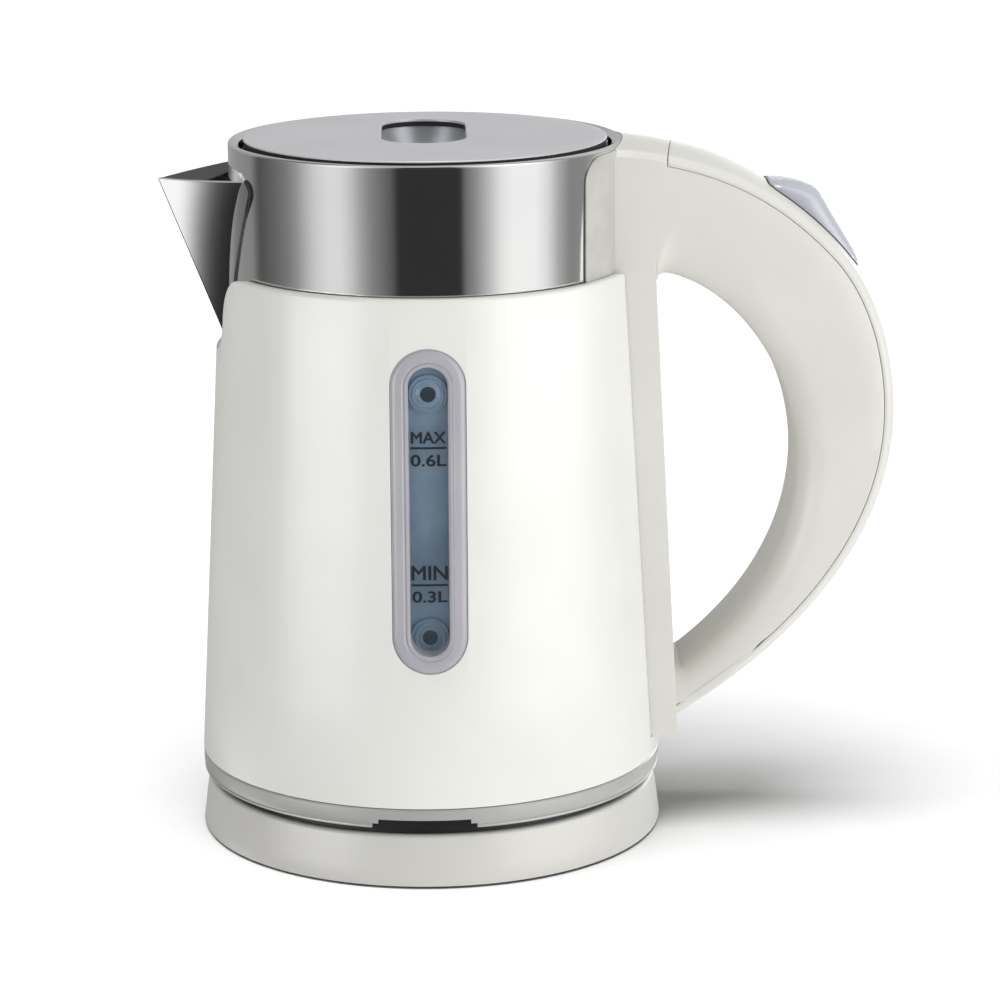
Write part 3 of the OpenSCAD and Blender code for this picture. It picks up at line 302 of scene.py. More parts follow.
# Warm white polypropylene with a polished mould skin: soft, wide highlights.
glossWhite = mouldedPlastic("polished white polypropylene", "#e9e9e4", "#e5e5e0", 0.3, 0.5, 0.003,
                            gentle=0.015)
# The same plastic from a fine-sparked tool: the handle looks a shade duller.
satinWhite = mouldedPlastic("sparked white polypropylene", "#dddcd6", "#d8d7d0", 0.38, 0.3, 0.008)
# The base is the same moulding, a trace greyer, and darker still as painted shade for the darkness it takes
# low down by the floor.
shadedBaseWhite = mouldedPlastic("base white polypropylene with painted shade", "#d2d1cc", "#cecdc8", 0.34, 0.4, 0.006)
# Deep-drawn stainless sheet, polished round the pot: mirror bands with soft edges.
potSteel = workedMetal("polished stainless sheet", "#dededc", "#dadad9", 0.085, stretch=30, gentle=0.02)
# The pressed spout has shorter hairlines and slightly wider highlights.
spoutSteel = workedMetal("pressed stainless sheet", "#dededd", "#dadadb", 0.1, stretch=12, gentle=0.02)
# Silver paint on moulded ABS: metal flake under lacquer, satin.
lidSilver = mouldedPlastic("silver painted ABS", "#d1d1d4", "#cacacd", 0.4, 0.16, 0.01, Metallic=0.35)
trimSilver = mouldedPlastic("grey painted ABS", "#bcbcba", "#b3b3b1", 0.36, 0.16, 0.01, Metallic=0.3)
rockerSilver = mouldedPlastic("blue-grey satin ABS", "#c6c8d0", "#bdbfc8", 0.27, 0.2, 0.008, Metallic=0.2)
# The cup's plastic is shinier, so its bowl shows one clear highlight.
gripGrey = mouldedPlastic("glossy grey ABS", "#c9ccd0", "#bec2c6", 0.2, 0.6, 0.004, Metallic=0.3)
# The collar under the handle's root is a pearl grey moulding.
flangePearl = mouldedPlastic("pearl grey ABS", "#c6c5c1", "#bab9b5", 0.22, 0.3, 0.008, driftMm=9,
                             Metallic=0.15)
# Glass fibre in the nylon leaves a dull, slightly rough black.
blackPlastic = mouldedPlastic("black glass-filled nylon", "#1c1c1e", "#141416", 0.4, 0.25, 0.02)
# Undyed nylon is creamy and barely shines.
innerWhite = mouldedPlastic("natural nylon", "#e6e3da", "#dcd8cc", 0.45, 0.4, 0.01)
# Rubber takes the light almost without highlights.
rubber = mouldedPlastic("black silicone rubber", "#232324", "#1a1a1b", 0.65, 0.3, 0.02)
clearSilicone = mouldedPlastic("clear silicone", "#dfe0dc", "#d2d4d1", 0.4, 0.6, 0.01)
# The spout's flange is brushed, so it stays greyer than the mirror round it.
flangeSteel = workedMetal("brushed stainless flange", "#b4b4b3", "#a8a8a8", 0.34, stretch=12)
# A dark strip along the fold: painted reflection for the thin dark line that the fold's rounding shows.
foldReflectionSteel = workedMetal("dark painted line along the fold", "#4c4e51", "#3f4144", 0.5, 0.15, hairDeep=0.004)
# Screws and springs: pale zinc with short, blurred highlights.
boltZinc = workedMetal("zinc plated steel", "#b9bcc0", "#a5a9ae", 0.3, 0.2, hairDeep=0.002)
# Cast parts have a matt, faintly pitted skin.
castAluminium = workedMetal("cast aluminium", "#c2c4c6", "#b2b4b7", 0.42, 0.4, hairDeep=0.01)
# Contacts and bimetal discs: warm brass tone, bright edges.
copperAlloy = workedMetal("copper alloy", "#c58f5a", "#b67f4c", 0.25, 0.2, hairDeep=0.002)
leadSleeve = braidedSleeve("glass fibre sleeve", "#a9513f", "#7d3226", 0.5)
# Clear copolyester, frosted round its edge and polished over the water.
frostedClear = mouldedPlastic("frosted clear copolyester", "#b2b1b6", "#a9a9b0", 0.3, 0.3, 0.01)
polishedClear = mouldedPlastic("polished clear copolyester", "#93a4b3", "#8799a9", 0.08, 1.2, 0.002,
                               driftMm=9, Alpha=0.05)
# What is seen through the pane: the cloudy blue-grey back, and near-black painted shade in the two bores,
# where the deep holes fall dark.
waterBlue = mouldedPlastic("blue-grey copolyester", "#788fa2", "#6b8194", 0.2, 0.5, 0.01, driftMm=7)
boreShadeNavy = mouldedPlastic("painted shade in the bores", "#0e1d2d", "#0b1826", 0.15, 0.8, 0.003, driftMm=3)
# Flat dark ink without any shine.
printInk = mouldedPlastic("pad printing ink", "#0d1420", "#090f19", 0.6, 0.1, 0.004)
print("finishes mixed")


def faceOut(shape):
    bmesh.ops.recalc_face_normals(shape, faces=shape.faces)


def spun(profile, steps):
    shape = bmesh.new()
    points = [shape.verts.new((r, 0, z)) for r, z in profile]
    wires = [shape.edges.new(pair) for pair in zip(points, points[1:] + points[:1])]
    bmesh.ops.spin(shape, geom=points + wires, cent=(0, 0, 0), axis=(0, 0, 1), dvec=(0, 0, 0), angle=math.tau,
                   steps=steps, use_merge=True, use_duplicate=False)
    bmesh.ops.remove_doubles(shape, verts=shape.verts, dist=0.001)
    faceOut(shape)
    return shape


# A grid from -1 to 1 both ways, each point moved to its place
def bent(columns, rows, place):
    shape = bmesh.new()
    bmesh.ops.create_grid(shape, x_segments=columns, y_segments=rows, size=1)
    for vert in shape.verts:
        vert.co = place(vert.co.x, vert.co.y)
    return shape


# Rings of the same number of points, joined one to the next, then joined to the first or closed at both ends
def lofted(rings, wayClosed=False):
    shape = bmesh.new()
    points = [shape.verts.new(p) for p in rings[0]]
    firstWires = wires = [shape.edges.new(pair) for pair in zip(points, points[1:] + points[:1])]
    for ring in rings[1:]:
        made = bmesh.ops.extrude_edge_only(shape, edges=wires)["geom"]
        fresh = {v for v in made if isinstance(v, bmesh.types.BMVert)}
        points = [next(e.other_vert(p) for e in p.link_edges if e.other_vert(p) in fresh) for p in points]
        for vert, spot in zip(points, ring):
            vert.co = spot
        wires = [e for e in made if isinstance(e, bmesh.types.BMEdge) and fresh.issuperset(e.verts)]
    if wayClosed:
        bmesh.ops.bridge_loops(shape, edges=firstWires + wires)
    else:
        for loop in (firstWires, wires):
            bmesh.ops.edgeloop_fill(shape, edges=loop)
    faceOut(shape)
    return shape


# A flat outline in its own plane, given depth, then put in place
def prism(outline, depth, place):
    shape = bmesh.new()
    face = shape.faces.new([shape.verts.new((u, v, 0)) for u, v in outline])
    grown = bmesh.ops.extrude_face_region(shape, geom=[face])["geom"]
    bmesh.ops.translate(shape, vec=(0, 0, depth),
                        verts=[v for v in grown if isinstance(v, bmesh.types.BMVert)])
    bmesh.ops.transform(shape, matrix=place, verts=shape.verts)
    faceOut(shape)
    return shape


# Outline axes to the frame's: (u, v, depth) become these directions
def axes(u, v, depth, origin=(0, 0, 0)):
    place = Matrix((Vector(u), Vector(v), Vector(depth))).transposed().to_4x4()
    place.translation = Vector(origin)
    return place


# Upright outlines whose depth runs to the back, to the front or to the right
def backFrom(y, z=0):
    return axes((1, 0, 0), (0, 0, 1), (0, 1, 0), (0, y, z))


def frontFrom(y, z=0):
    return axes((1, 0, 0), (0, 0, 1), (0, -1, 0), (0, y, z))


def rightFrom(x, z=0):
    return axes((0, 1, 0), (0, 0, 1), (1, 0, 0), (x, 0, z))


def tempObject(shape):
    mesh = bpy.data.meshes.new("temp")
    shape.to_mesh(mesh)
    thing = bpy.data.objects.new("temp", mesh)
    scene.collection.objects.link(thing)
    return thing


def carve(shape, cutter):
    body, tool = tempObject(shape), tempObject(cutter)
    cut = body.modifiers.new("cut", "BOOLEAN")
    cut.operation = "DIFFERENCE"
    cut.object = tool
    cut.solver = "EXACT"
    bpy.context.view_layer.update()
    done = body.evaluated_get(bpy.context.evaluated_depsgraph_get()).to_mesh()
    shape.clear()
    shape.from_mesh(done)
    cutter.free()
    for thing in (body, tool):
        mesh = thing.data
        bpy.data.objects.remove(thing)
        bpy.data.meshes.remove(mesh)
    bmesh.ops.remove_doubles(shape, verts=shape.verts, dist=0.01)
    bmesh.ops.dissolve_degenerate(shape, edges=shape.edges, dist=0.005)


def rounded(shape, edges, width, segments):
    bmesh.ops.bevel(shape, geom=edges, offset=width, offset_type="OFFSET", segments=segments, profile=0.5,
                    affect="EDGES", clamp_overlap=True, material=-1)


def roundEdges(shape, width, segments, angle, where=None):
    edges = [e for e in shape.edges if len(e.link_faces) == 2 and e.calc_face_angle(0) > math.radians(angle)
             and (where is None or where((e.verts[0].co + e.verts[1].co) / 2))]
    rounded(shape, edges, width, segments)


def joined(*shapes):
    whole = shapes[0]
    for part in shapes[1:]:
        mesh = bpy.data.meshes.new("temp")
        part.to_mesh(mesh)
        part.free()
        whole.from_mesh(mesh)
        bpy.data.meshes.remove(mesh)
    return whole


# Turns an open sheet's faces to look along a direction
def facing(shape, way):
    faceOut(shape)
    if sum(f.normal.dot(Vector(way)) for f in shape.faces) < 0:
        bmesh.ops.reverse_faces(shape, faces=shape.faces)


def finished(shape, name, body, finish, replaces, sharp=32):
    bmesh.ops.scale(shape, vec=(0.001, 0.001, 0.001), verts=shape.verts)
    mesh = bpy.data.meshes.new(name)
    shape.to_mesh(mesh)
    shape.free()
    mesh.shade_smooth()
    mesh.set_sharp_from_angle(angle=math.radians(sharp))
    mesh.materials.append(finish)
    piece = bpy.data.objects.new(name, mesh)
    scene.collection.objects.link(piece)
    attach(piece, body)
    if finish in (potSteel, spoutSteel):
        leaveOut(piece, notSteel)
    if replaces:
        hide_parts(replaces)
    print("made", name, len(mesh.polygons), "faces")


def arc(cx, cy, radius, start, end, steps):
    turns = [math.radians(start + (end - start) * i / steps) for i in range(steps + 1)]
    return [(cx + radius * math.cos(a), cy + radius * math.sin(a)) for a in turns]


def disc(radius, sides, cy=0):
    return arc(0, cy, radius, 0, 360 - 360 / sides, sides - 1)


# A ring of points round a spot, in the plane of two directions
def circle(spot, first, second, radius, sides):
    turns = [math.tau * k / sides for k in range(sides)]
    return [spot + first * (radius * math.cos(a)) + second * (radius * math.sin(a)) for a in turns]


# Outline of a straight upright slot with round ends: height of its middle, half width, and half the length
# between the end centres
def stadium(cy, halfW, run, steps):
    return arc(0, cy + run, halfW, 0, 180, steps) + arc(0, cy - run, halfW, 180, 360, steps)


# Height of an outline with rounded corners at a distance from its middle: full height, less towards its ends
def cornered(aside, half, height, r):
    over = max(0, abs(aside) - (half - r))
    return height - r + math.sqrt(max(0, r * r - over * over))


def smoothstep(low, high, value):
    t = min(1, max(0, (value - low) / (high - low)))
    return t * t * (3 - 2 * t)


# Spots on a line of points, by their share of its length
def spread(points, shares):
    lengths = [0]
    for a, b in zip(points, points[1:]):
        lengths.append(lengths[-1] + math.dist(a, b))
    spots = []
    for share in shares:
        want = lengths[-1] * share
        k = max([i for i in range(len(points) - 1) if lengths[i] < want] or [0])
        t = (want - lengths[k]) / max(1e-9, lengths[k + 1] - lengths[k])
        spots.append(tuple(a + (b - a) * t for a, b in zip(points[k], points[k + 1])))
    return spots


# the ring stands round the connector; the inlet's tube starts a little inside the wall
base = {"draft": 1.7, "wall": 2.0, "edgeR": 1.0, "dish": 0.8, "lowR": 0.5, "rim": 4.0, "ringR": 14.5,
        "inletZ": 7.9, "inletR": 3.5, "inletWall": 1.5, "inletSet": 2.6, "inletLong": 8.0}


def makeBase():
    high = highMm("base_cover")
    low, top = lowMm("base_cover")[2], high[2]
    footR = high[0] + base["draft"] * low / top
    ringR, dished, under = base["ringR"], top - base["dish"], top - base["wall"]
    inletR, inletZ = base["inletR"], base["inletZ"]
    wideR = inletR + base["inletWall"]

    def side(z):
        return footR - base["draft"] * z / top

    profile = [(side(low) - base["wall"], low), (side(low) - base["lowR"], low)]
    profile += arc(side(low) - base["lowR"], low + base["lowR"], base["lowR"], -70, -10, 3)
    profile += [(side(5), 5), (side(9), 9)]
    profile += arc(side(top) - base["edgeR"], top - base["edgeR"], base["edgeR"], 4, 90, 6)
    profile += [(side(top) - 2.9, top), (side(top) - 3.3, top - 0.2), (side(top) - base["rim"], dished),
                (ringR + 4, dished), (ringR + 3, top - 0.1), (ringR + 2.8, top), (ringR + 0.2, top),
                (ringR + 0.2, under), (side(top) - base["wall"] - 0.3, under)]
    shape = spun(profile, 288)
    carve(shape, prism(disc(wideR, 48), 30, frontFrom(footR + 4, inletZ)))
    near = footR - base["inletSet"]
    far = near - base["inletLong"]
    tube = lofted([circle(Vector((0, y, inletZ)), Vector((1, 0, 0)), Vector((0, 0, 1)), r, 48)
                   for r, y in ((wideR, near), (inletR, near), (inletR, far), (wideR, far))], wayClosed=True)
    finished(joined(shape, tube), "baseCover", "base", shadedBaseWhite, "base_cover")


makeBase()

# the ring is the rim's width, and the lip hangs inside the mouth; the steam hole is behind the handle's root
pot = {"wall": 0.6, "cornerR": 4.0, "shoulderR": 0.9, "ring": 2.75, "dish": 1.0, "lip": 6.0,
       "crestDrop": 0.25, "steamR": 2.6, "steamZ": 165.5, "nozzleR": 2.45, "nozzleZ": (66.8, 130.5)}
# keelTurn is how far the sides have bent at the fold, in degrees; rise is how steeply the upper edge climbs
spout = {"footZ": 128.5, "rootHalfW": 21.5, "rootZ": 178.6, "tipDrop": 10.25, "sheetR": 91.2,
         "keelTurn": 52.8, "keelR": 0.5, "rise": 5.2, "wall": 0.8, "flange": 4.6, "flangeT": 0.5,
         "flangeR": 2.5, "shadowBeadR": 0.6, "reflectionLineR": 0.32}

potR = highMm("pot")[0]
rimZ = highMm("pot")[2] - pot["crestDrop"]
potFloor = lowMm("pot")[2]
spoutReach = -lowMm("spout")[0]
spoutTipZ = rimZ - spout["tipDrop"]


# Depth of a round wall at a distance from its middle plane
def roundAt(r, aside):
    return math.sqrt(r * r - aside * aside)


def makePot():
    wall, cornerR, shoulderR = pot["wall"], pot["cornerR"], pot["shoulderR"]
    mouthR = potR - pot["ring"]
    innerZ = rimZ - pot["dish"]
    profile = [(0, potFloor), (potR * 0.5, potFloor)]
    profile += arc(potR - cornerR, potFloor + cornerR, cornerR, -90, 0, 8)
    profile += [(potR, potFloor + (rimZ - potFloor) * k / 6) for k in range(1, 6)]
    profile += arc(potR - shoulderR, rimZ - shoulderR, shoulderR, 0, 100, 12)
    profile += [(mouthR + 0.3, innerZ + 0.05), (mouthR + 0.06, innerZ - 0.1), (mouthR, innerZ - 0.4),
                (mouthR, rimZ - pot["lip"]), (mouthR + wall, rimZ - pot["lip"]),
                (mouthR + wall, innerZ - wall - 0.2)]
    profile += arc(potR - shoulderR, rimZ - shoulderR, shoulderR - wall, 80, 0, 6)
    profile += arc(potR - cornerR, potFloor + cornerR, cornerR - wall, 0, -90, 8)
    profile += [(0, potFloor + wall)]
    shape = spun(profile, 288)
    # the way into the spout is a little smaller than the spout's root
    halfW, rootZ = spout["rootHalfW"] - 4, spout["rootZ"] - 1
    way = prism([(-halfW, rootZ), (halfW, rootZ), (0, spout["footZ"] + 6)], 12, rightFrom(-potR - 4))
    steamHole = prism(disc(pot["steamR"], 24), 10, rightFrom(potR - 5, pot["steamZ"]))
    holes = [prism(disc(pot["nozzleR"], 24), 8, backFrom(-potR - 3, z)) for z in pot["nozzleZ"]]
    carve(shape, joined(way, steamHole, *holes))
    finished(shape, "steelPot", "jug", potSteel, "pot", 28)


def keelX(z):
    footX = potR - 0.2
    return footX + (spoutReach - footX) * (z - spout["footZ"]) / (spoutTipZ - spout["footZ"])


# Each side is one sheet bent to a steady radius, and every level of the spout is cut from the same arc.
# u runs from the pot to the fold.
def onSide(u, z):
    sheetR = spout["sheetR"]
    sheetX = spoutReach - sheetR * math.sin(math.radians(spout["keelTurn"]))
    keelTurn = math.asin((keelX(z) - sheetX) / sheetR)

    def at(turn):
        return sheetX + sheetR * math.sin(turn), sheetR * (math.cos(turn) - math.cos(keelTurn))

    # halves the range until the sheet meets the pot, just inside its wall
    low, high = 0.2, keelTurn
    for _ in range(26):
        turn = (low + high) / 2
        low, high = (low, turn) if math.hypot(*at(turn)) > potR - 0.4 else (turn, high)
    return at(high + (keelTurn - high) * u)


def makeSpout():
    lowZ, rise = spout["footZ"] + 0.5, math.tan(math.radians(spout["rise"]))

    def place(across, v):
        u, z = 1 - abs(across), lowZ
        # the upper edge climbs towards the pot, so height and place are settled together
        for _ in range(4):
            x, y = onSide(u, z)
            z = lowZ + (spoutTipZ + (spoutReach - x) * rise - lowZ) * (v + 1) / 2
        x, y = onSide(u, z)
        return -x, math.copysign(y, across) if across else 0, z

    shape = bent(48, 40, place)
    bmesh.ops.remove_doubles(shape, verts=shape.verts, dist=0.02)
    facing(shape, (-1, 0, 0))
    keel = [e for e in shape.edges if len(e.link_faces) == 2 and all(abs(v.co.y) < 0.001 for v in e.verts)]
    rounded(shape, keel, spout["keelR"], 4)
    bmesh.ops.solidify(shape, geom=shape.faces[:], thickness=spout["wall"])
    finished(shape, "steelSpout", "jug", spoutSteel, "spout", 35)


# Outer edge of one arm of the flange, from its foot up
def flangeLine():
    wide, top, r = spout["rootHalfW"] + spout["flange"], spout["rootZ"], spout["flangeR"]
    return [(0, spout["footZ"] - 8), (wide - 0.35, top - 3.4)] + arc(wide - 2.6, top - r, r, 0, 90, 8)


# The spout's flange lies on the pot: one arm made and mirrored
def makeSpoutFlange():
    outer, footZ = flangeLine(), spout["footZ"] + 2

    def place(u, v):
        u, v = (u + 1) / 2, math.sin((v + 1) / 2 * math.pi / 2)
        outerY, outerZ = spread(outer, [v])[0]
        innerZ = footZ + (spout["rootZ"] - footZ) * v
        innerY = max(0, onSide(0, innerZ)[1] - 0.9)
        y, z = innerY + (outerY - innerY) * u, innerZ + (outerZ - innerZ) * u
        return -roundAt(potR + 0.05 + spout["flangeT"], y), y, z

    arm = bent(6, 60, place)
    bmesh.ops.mirror(arm, geom=arm.verts[:] + arm.edges[:] + arm.faces[:], axis="Y", merge_dist=0.01)
    bmesh.ops.remove_doubles(arm, verts=arm.verts, dist=0.01)
    facing(arm, (-1, 0, 0))
    bmesh.ops.solidify(arm, geom=arm.faces[:], thickness=spout["flangeT"])
    roundEdges(arm, 0.16, 2, 60)
    finished(arm, "spoutFlange", "jug", flangeSteel, None, 35)


# A thin black bead round the flange, thinner at its two ends: painted shadow for the dark gap along the
# flange's edge
def makeSpoutShadowBead():
    outer = flangeLine()
    path = [Vector((-roundAt(potR, y), y, z)) for y, z in [(-y, z) for y, z in reversed(outer)] + outer[1:]]
    rings = []
    for i, spot in enumerate(path):
        way = (path[min(i + 1, len(path) - 1)] - path[max(i - 1, 0)]).normalized()
        out = Vector((spot.x, spot.y, 0)).normalized()
        side = way.cross(out)
        bead = spout["shadowBeadR"] * (0.55 if i in (0, len(path) - 1) else 1)
        rings.append(circle(spot + out * 0.1 - side * 0.4, out, side, bead, 12))
    finished(lofted(rings), "spoutShadowBead", "jug", rubber, None, 60)


# A dull dark bead along the fold: painted reflection of the dark line there
def makeKeelReflectionLine():
    lowZ, highZ = spout["footZ"] + 1.5, spoutTipZ - 0.2
    rings = []
    for k in range(25):
        z = lowZ + (highZ - lowZ) * k / 24
        spot = Vector((0.34 - keelX(z), 0, z))
        rings.append(circle(spot, Vector((-1, 0, 0)), Vector((0, 1, 0)), spout["reflectionLineR"], 12))
    finished(lofted(rings), "keelReflectionLine", "jug", foldReflectionSteel, None, 60)


makePot()
makeSpout()
makeSpoutFlange()
makeSpoutShadowBead()
makeKeelReflectionLine()

# the slot takes the handle's column and the notch the spout; easing rounds the cut edges
shell = {"wall": 2.2, "over": 3.0, "edgeR": 1.0, "easing": 0.55,
         "slotHalfW": 18.6, "slotFoot": 26.4, "slotR": 1.3, "notchHalfW": 14.8, "notchFoot": 132.0,
         "notchLowR": 8.0, "notchTopR": 12.0, "windowGap": 0.1}
trim = {"wide": 2.6, "step": 1.2, "notchHalfW": 12.0, "notchTurn": -2, "easing": 0.25}

shellLow = lowMm("outer_shell")[2]
shellTop = highMm("outer_shell")[2]
shellLowR = highMm("outer_shell")[0]
shellTopR = potR + shell["over"]
gaugeHalfW = highMm("gauge_window")[0]
gaugeLowZ = lowMm("gauge_window")[2]
gaugeHighZ = highMm("gauge_window")[2]
gaugeMiddle = (gaugeLowZ + gaugeHighZ) / 2


def shellR(z):
    return shellLowR + (shellTopR - shellLowR) * (z - shellLow) / (shellTop - shellLow)


# Closes a cut's outline over the shell's top, where its sides flare outwards
def flared(foot, half, r, steps):
    wide, over = half + r, shellTop + 5
    return (foot + arc(wide, shellTop - r, r, 180, 90, steps) + [(wide, over), (-wide, over)]
            + arc(-wide, shellTop - r, r, 90, 0, steps))


def makeShell():
    wall, edgeR = shell["wall"], shell["edgeR"]
    profile = [(shellLowR - wall, shellLow), (shellLowR - 0.4, shellLow), (shellLowR - 0.1, shellLow + 0.12)]
    levels = [shellLow + 0.4] + [shellLow + (shellTop - shellLow) * k / 5 for k in range(1, 5)]
    profile += [(shellR(z), z) for z in levels]
    profile += arc(shellTopR - edgeR, shellTop - edgeR, edgeR, 3, 90, 6)
    profile += [(shellTopR - wall, shellTop)]
    shape = spun(profile, 288)
    half, foot = shell["slotHalfW"], shell["slotFoot"]
    slot = flared([(-half, foot), (half, foot)], half, shell["slotR"], 8)
    half, lowR, foot = shell["notchHalfW"], shell["notchLowR"], shell["notchFoot"] + shell["notchLowR"]
    bottom = arc(-half + lowR, foot, lowR, 180, 270, 12) + arc(half - lowR, foot, lowR, 270, 360, 12)
    notch = flared(bottom, half, shell["notchTopR"], 16)
    half = gaugeHalfW + shell["windowGap"]
    window = stadium(gaugeMiddle, half, (gaugeHighZ - gaugeLowZ) / 2 + shell["windowGap"] - half, 32)
    carve(shape, joined(prism(slot, 40, rightFrom(34)), prism(notch, 40, rightFrom(-74)),
                        prism(window, 40, backFrom(-75))))
    roundEdges(shape, shell["easing"], 3, 50,
               lambda p: p.z > shellLow + 1 and math.hypot(p.x, p.y) > shellR(p.z) - 0.7)
    finished(shape, "outerShell", "jug", glossWhite, "outer_shell", 34)


def makeTrim():
    low, high = lowMm("trim_ring")[2], highMm("trim_ring")[2]
    r = highMm("trim_ring")[0]
    inner, step = r - trim["wide"], low + trim["step"]
    profile = [(inner, low), (r - 0.75, low), (r - 0.55, low + 0.08)]
    profile += arc(r - 0.55, low + 0.5, 0.42, -60, 75, 6)
    profile += [(r - 0.33, low + 1.0), (r - 0.14, step + 0.3), (r, step + 1.1), (r, high - 0.35),
                (r - 0.3, high), (inner, high)]
    shape = spun(profile, 288)
    # a stepped notch in front, wider at its foot
    half, wide = trim["notchHalfW"], trim["notchHalfW"] + 1.6
    outline = [(-wide, low - 1), (wide, low - 1), (wide, low + 1.3), (half, low + 1.3), (half, low + 2.5),
               (-half, low + 2.5), (-half, low + 1.3), (-wide, low + 1.3)]
    turn = math.radians(trim["notchTurn"])
    along, inwards = (math.cos(turn), math.sin(turn), 0), (-math.sin(turn), math.cos(turn), 0)
    carve(shape, prism(outline, 12, axes(along, (0, 0, 1), inwards, (r * math.sin(turn), -r - 4, 0))))
    roundEdges(shape, trim["easing"], 2, 55,
               lambda p: p.z < low + 3 and p.y < -r * 0.9 and math.hypot(p.x, p.y) > r - 1)
    finished(shape, "trimRing", "jug", trimSilver, "trim_ring")


makeShell()
makeTrim()

# frame is the clear border's width; marks give words, foot, height and width; bold gives the repeats of each
# print
gauge = {"proud": 0.35, "ports": (65.5, 129.25), "frame": 4.55, "paneT": 0.9, "lineThick": 0.55,
         "marks": [("MAX", 117.05, 3.05, 8.9), ("0.6L", 111.2, 3.05, 9.1), ("MIN", 81.87, 3.75, 9.3),
                   ("0.3L", 76.05, 3.0, 9.0)],
         "lines": [(115.9, 9.2), (80.6, 9.2)],
         "bold": [(-0.12, 0), (0.12, 0), (0, -0.1), (0, 0.1), (-0.08, 0.07), (0.08, -0.07)],
         # raised collar of a port, from its middle outwards: radius and height; bore is the dark round of
         # painted shade in it
         "collar": [(2.0, -0.2), (2.0, 1.05), (2.15, 1.2), (2.4, 1.2), (2.6, 0.95), (3.5, 0.9), (3.65, 1.2),
                    (3.8, 1.28), (3.95, 1.2), (4.15, 0.88), (4.55, 0.86), (4.7, 1.1), (4.9, 1.1), (5.05, 0.7),
                    (5.05, -0.2)],
         "bore": [(0, 0.82), (1.2, 0.84), (1.85, 0.92), (2.1, 1.0), (2.1, 0.4), (0, 0.3)]}

channelR = potR + 1.8


def onFront(x, z, out):
    return Vector((x, -roundAt(shellR(z) + out, x), z))


# One ring of the window, inset from its outline: proud of the shell, or on a round wall behind it
def gaugeRing(inset, out, backR=None):
    ring = stadium(gaugeMiddle, gaugeHalfW - inset, (gaugeHighZ - gaugeLowZ) / 2 - gaugeHalfW, 28)
    return [Vector((x, -roundAt(backR, x), z)) if backR else onFront(x, z, out) for x, z in ring]


def makeGaugeFrame():
    proud, wide, backR = gauge["proud"], gauge["frame"], potR + 1.9
    steps = [(0.0, -2.0), (0.0, -0.3), (0.25, -0.25), (0.5, 0.05), (0.8, proud * 0.7), (1.15, proud),
             (1.8, proud + 0.04), (2.9, proud), (3.15, proud - 0.12), (3.35, proud - 0.3), (3.5, proud - 0.3),
             (3.7, proud - 0.05), (4.0, proud - 0.02), (4.2, proud - 0.25), (4.45, proud - 0.3),
             (wide, proud - 0.4), (wide, -1.4), (wide + 0.2, 0, backR), (1.2, 0, backR), (1.0, -3.2)]
    shape = lofted([gaugeRing(*step) for step in steps], wayClosed=True)
    finished(shape, "gaugeFrame", "jug", frostedClear, "gauge_window", 24)


# The clear pane over the water channel, a grid bent to the shell
def makePane():
    half = gaugeHalfW - gauge["frame"] + 0.1
    halfLong = (gaugeHighZ - gaugeLowZ) / 2 - gauge["frame"] + 0.1

    def place(u, v):
        z = halfLong * math.sin(v * math.pi / 2)
        return onFront(u * cornered(z, halfLong, half, half), gaugeMiddle + z, gauge["proud"] - 0.32)

    shape = bent(16, 90, place)
    bmesh.ops.remove_doubles(shape, verts=shape.verts, dist=0.002)
    facing(shape, (0, -1, 0))
    bmesh.ops.solidify(shape, geom=shape.faces[:], thickness=gauge["paneT"])
    finished(shape, "gaugePane", "jug", polishedClear, None, 40)


# Turned shapes at the two water ports, wrapped to the channel's round back or standing flat on it
def makeAtPorts(profile, wrapped, name, finish):
    shapes = []
    for z in gauge["ports"]:
        shape = spun(profile, 64)
        bmesh.ops.transform(shape, matrix=frontFrom(0 if wrapped else -channelR, z), verts=shape.verts)
        if wrapped:
            for vert in shape.verts:
                vert.co.y -= roundAt(channelR, vert.co.x)
        shapes.append(shape)
    shape = joined(*shapes)
    faceOut(shape)
    finished(shape, name, "jug", finish, None, 50)


def lettering(words):
    data = bpy.data.curves.new("mark", "FONT")
    data.body = words
    data.align_x = "LEFT"
    data.resolution_u = 6
    text = bpy.data.objects.new("mark", data)
    scene.collection.objects.link(text)
    bpy.context.view_layer.update()
    mesh = bpy.data.meshes.new_from_object(text)
    letters = bmesh.new()
    letters.from_mesh(mesh)
    bpy.data.objects.remove(text)
    bpy.data.meshes.remove(mesh)
    return letters


def makeMarks():
    marks = []
    out = gauge["proud"] - 0.27
    for words, low, height, width in gauge["marks"]:
        letters = lettering(words)
        spots = [v.co for v in letters.verts]
        left, right = min(p.x for p in spots), max(p.x for p in spots)
        bottom, top = min(p.y for p in spots), max(p.y for p in spots)
        # printed a few times over, a hair apart, so that the strokes come out bold
        for k, (aside, above) in enumerate(gauge["bold"]):
            inked = letters.copy()
            for vert in inked.verts:
                x = ((vert.co.x - left) / (right - left) - 0.5) * (width - 0.24) + aside
                z = low + 0.1 + (vert.co.y - bottom) / (top - bottom) * (height - 0.2) + above
                vert.co = onFront(x, z, out + 0.004 * k)
            marks.append(inked)
        letters.free()
    for z, width in gauge["lines"]:
        marks.append(bent(12, 1, lambda u, v: onFront(u * width / 2, z + v * gauge["lineThick"] / 2, out)))
    shape = joined(*marks)
    faceOut(shape)
    for face in shape.faces:
        if face.normal.y > 0:
            face.normal_flip()
    finished(shape, "gaugeMarks", "jug", printInk, None, 60)


makeGaugeFrame()
makePane()
makeAtPorts(gauge["collar"], True, "portCollars", waterBlue)
# a dark round in each port: painted shade for the deep bore behind the pane
makeAtPorts(gauge["bore"], False, "portShade", boreShadeNavy)
makeMarks()

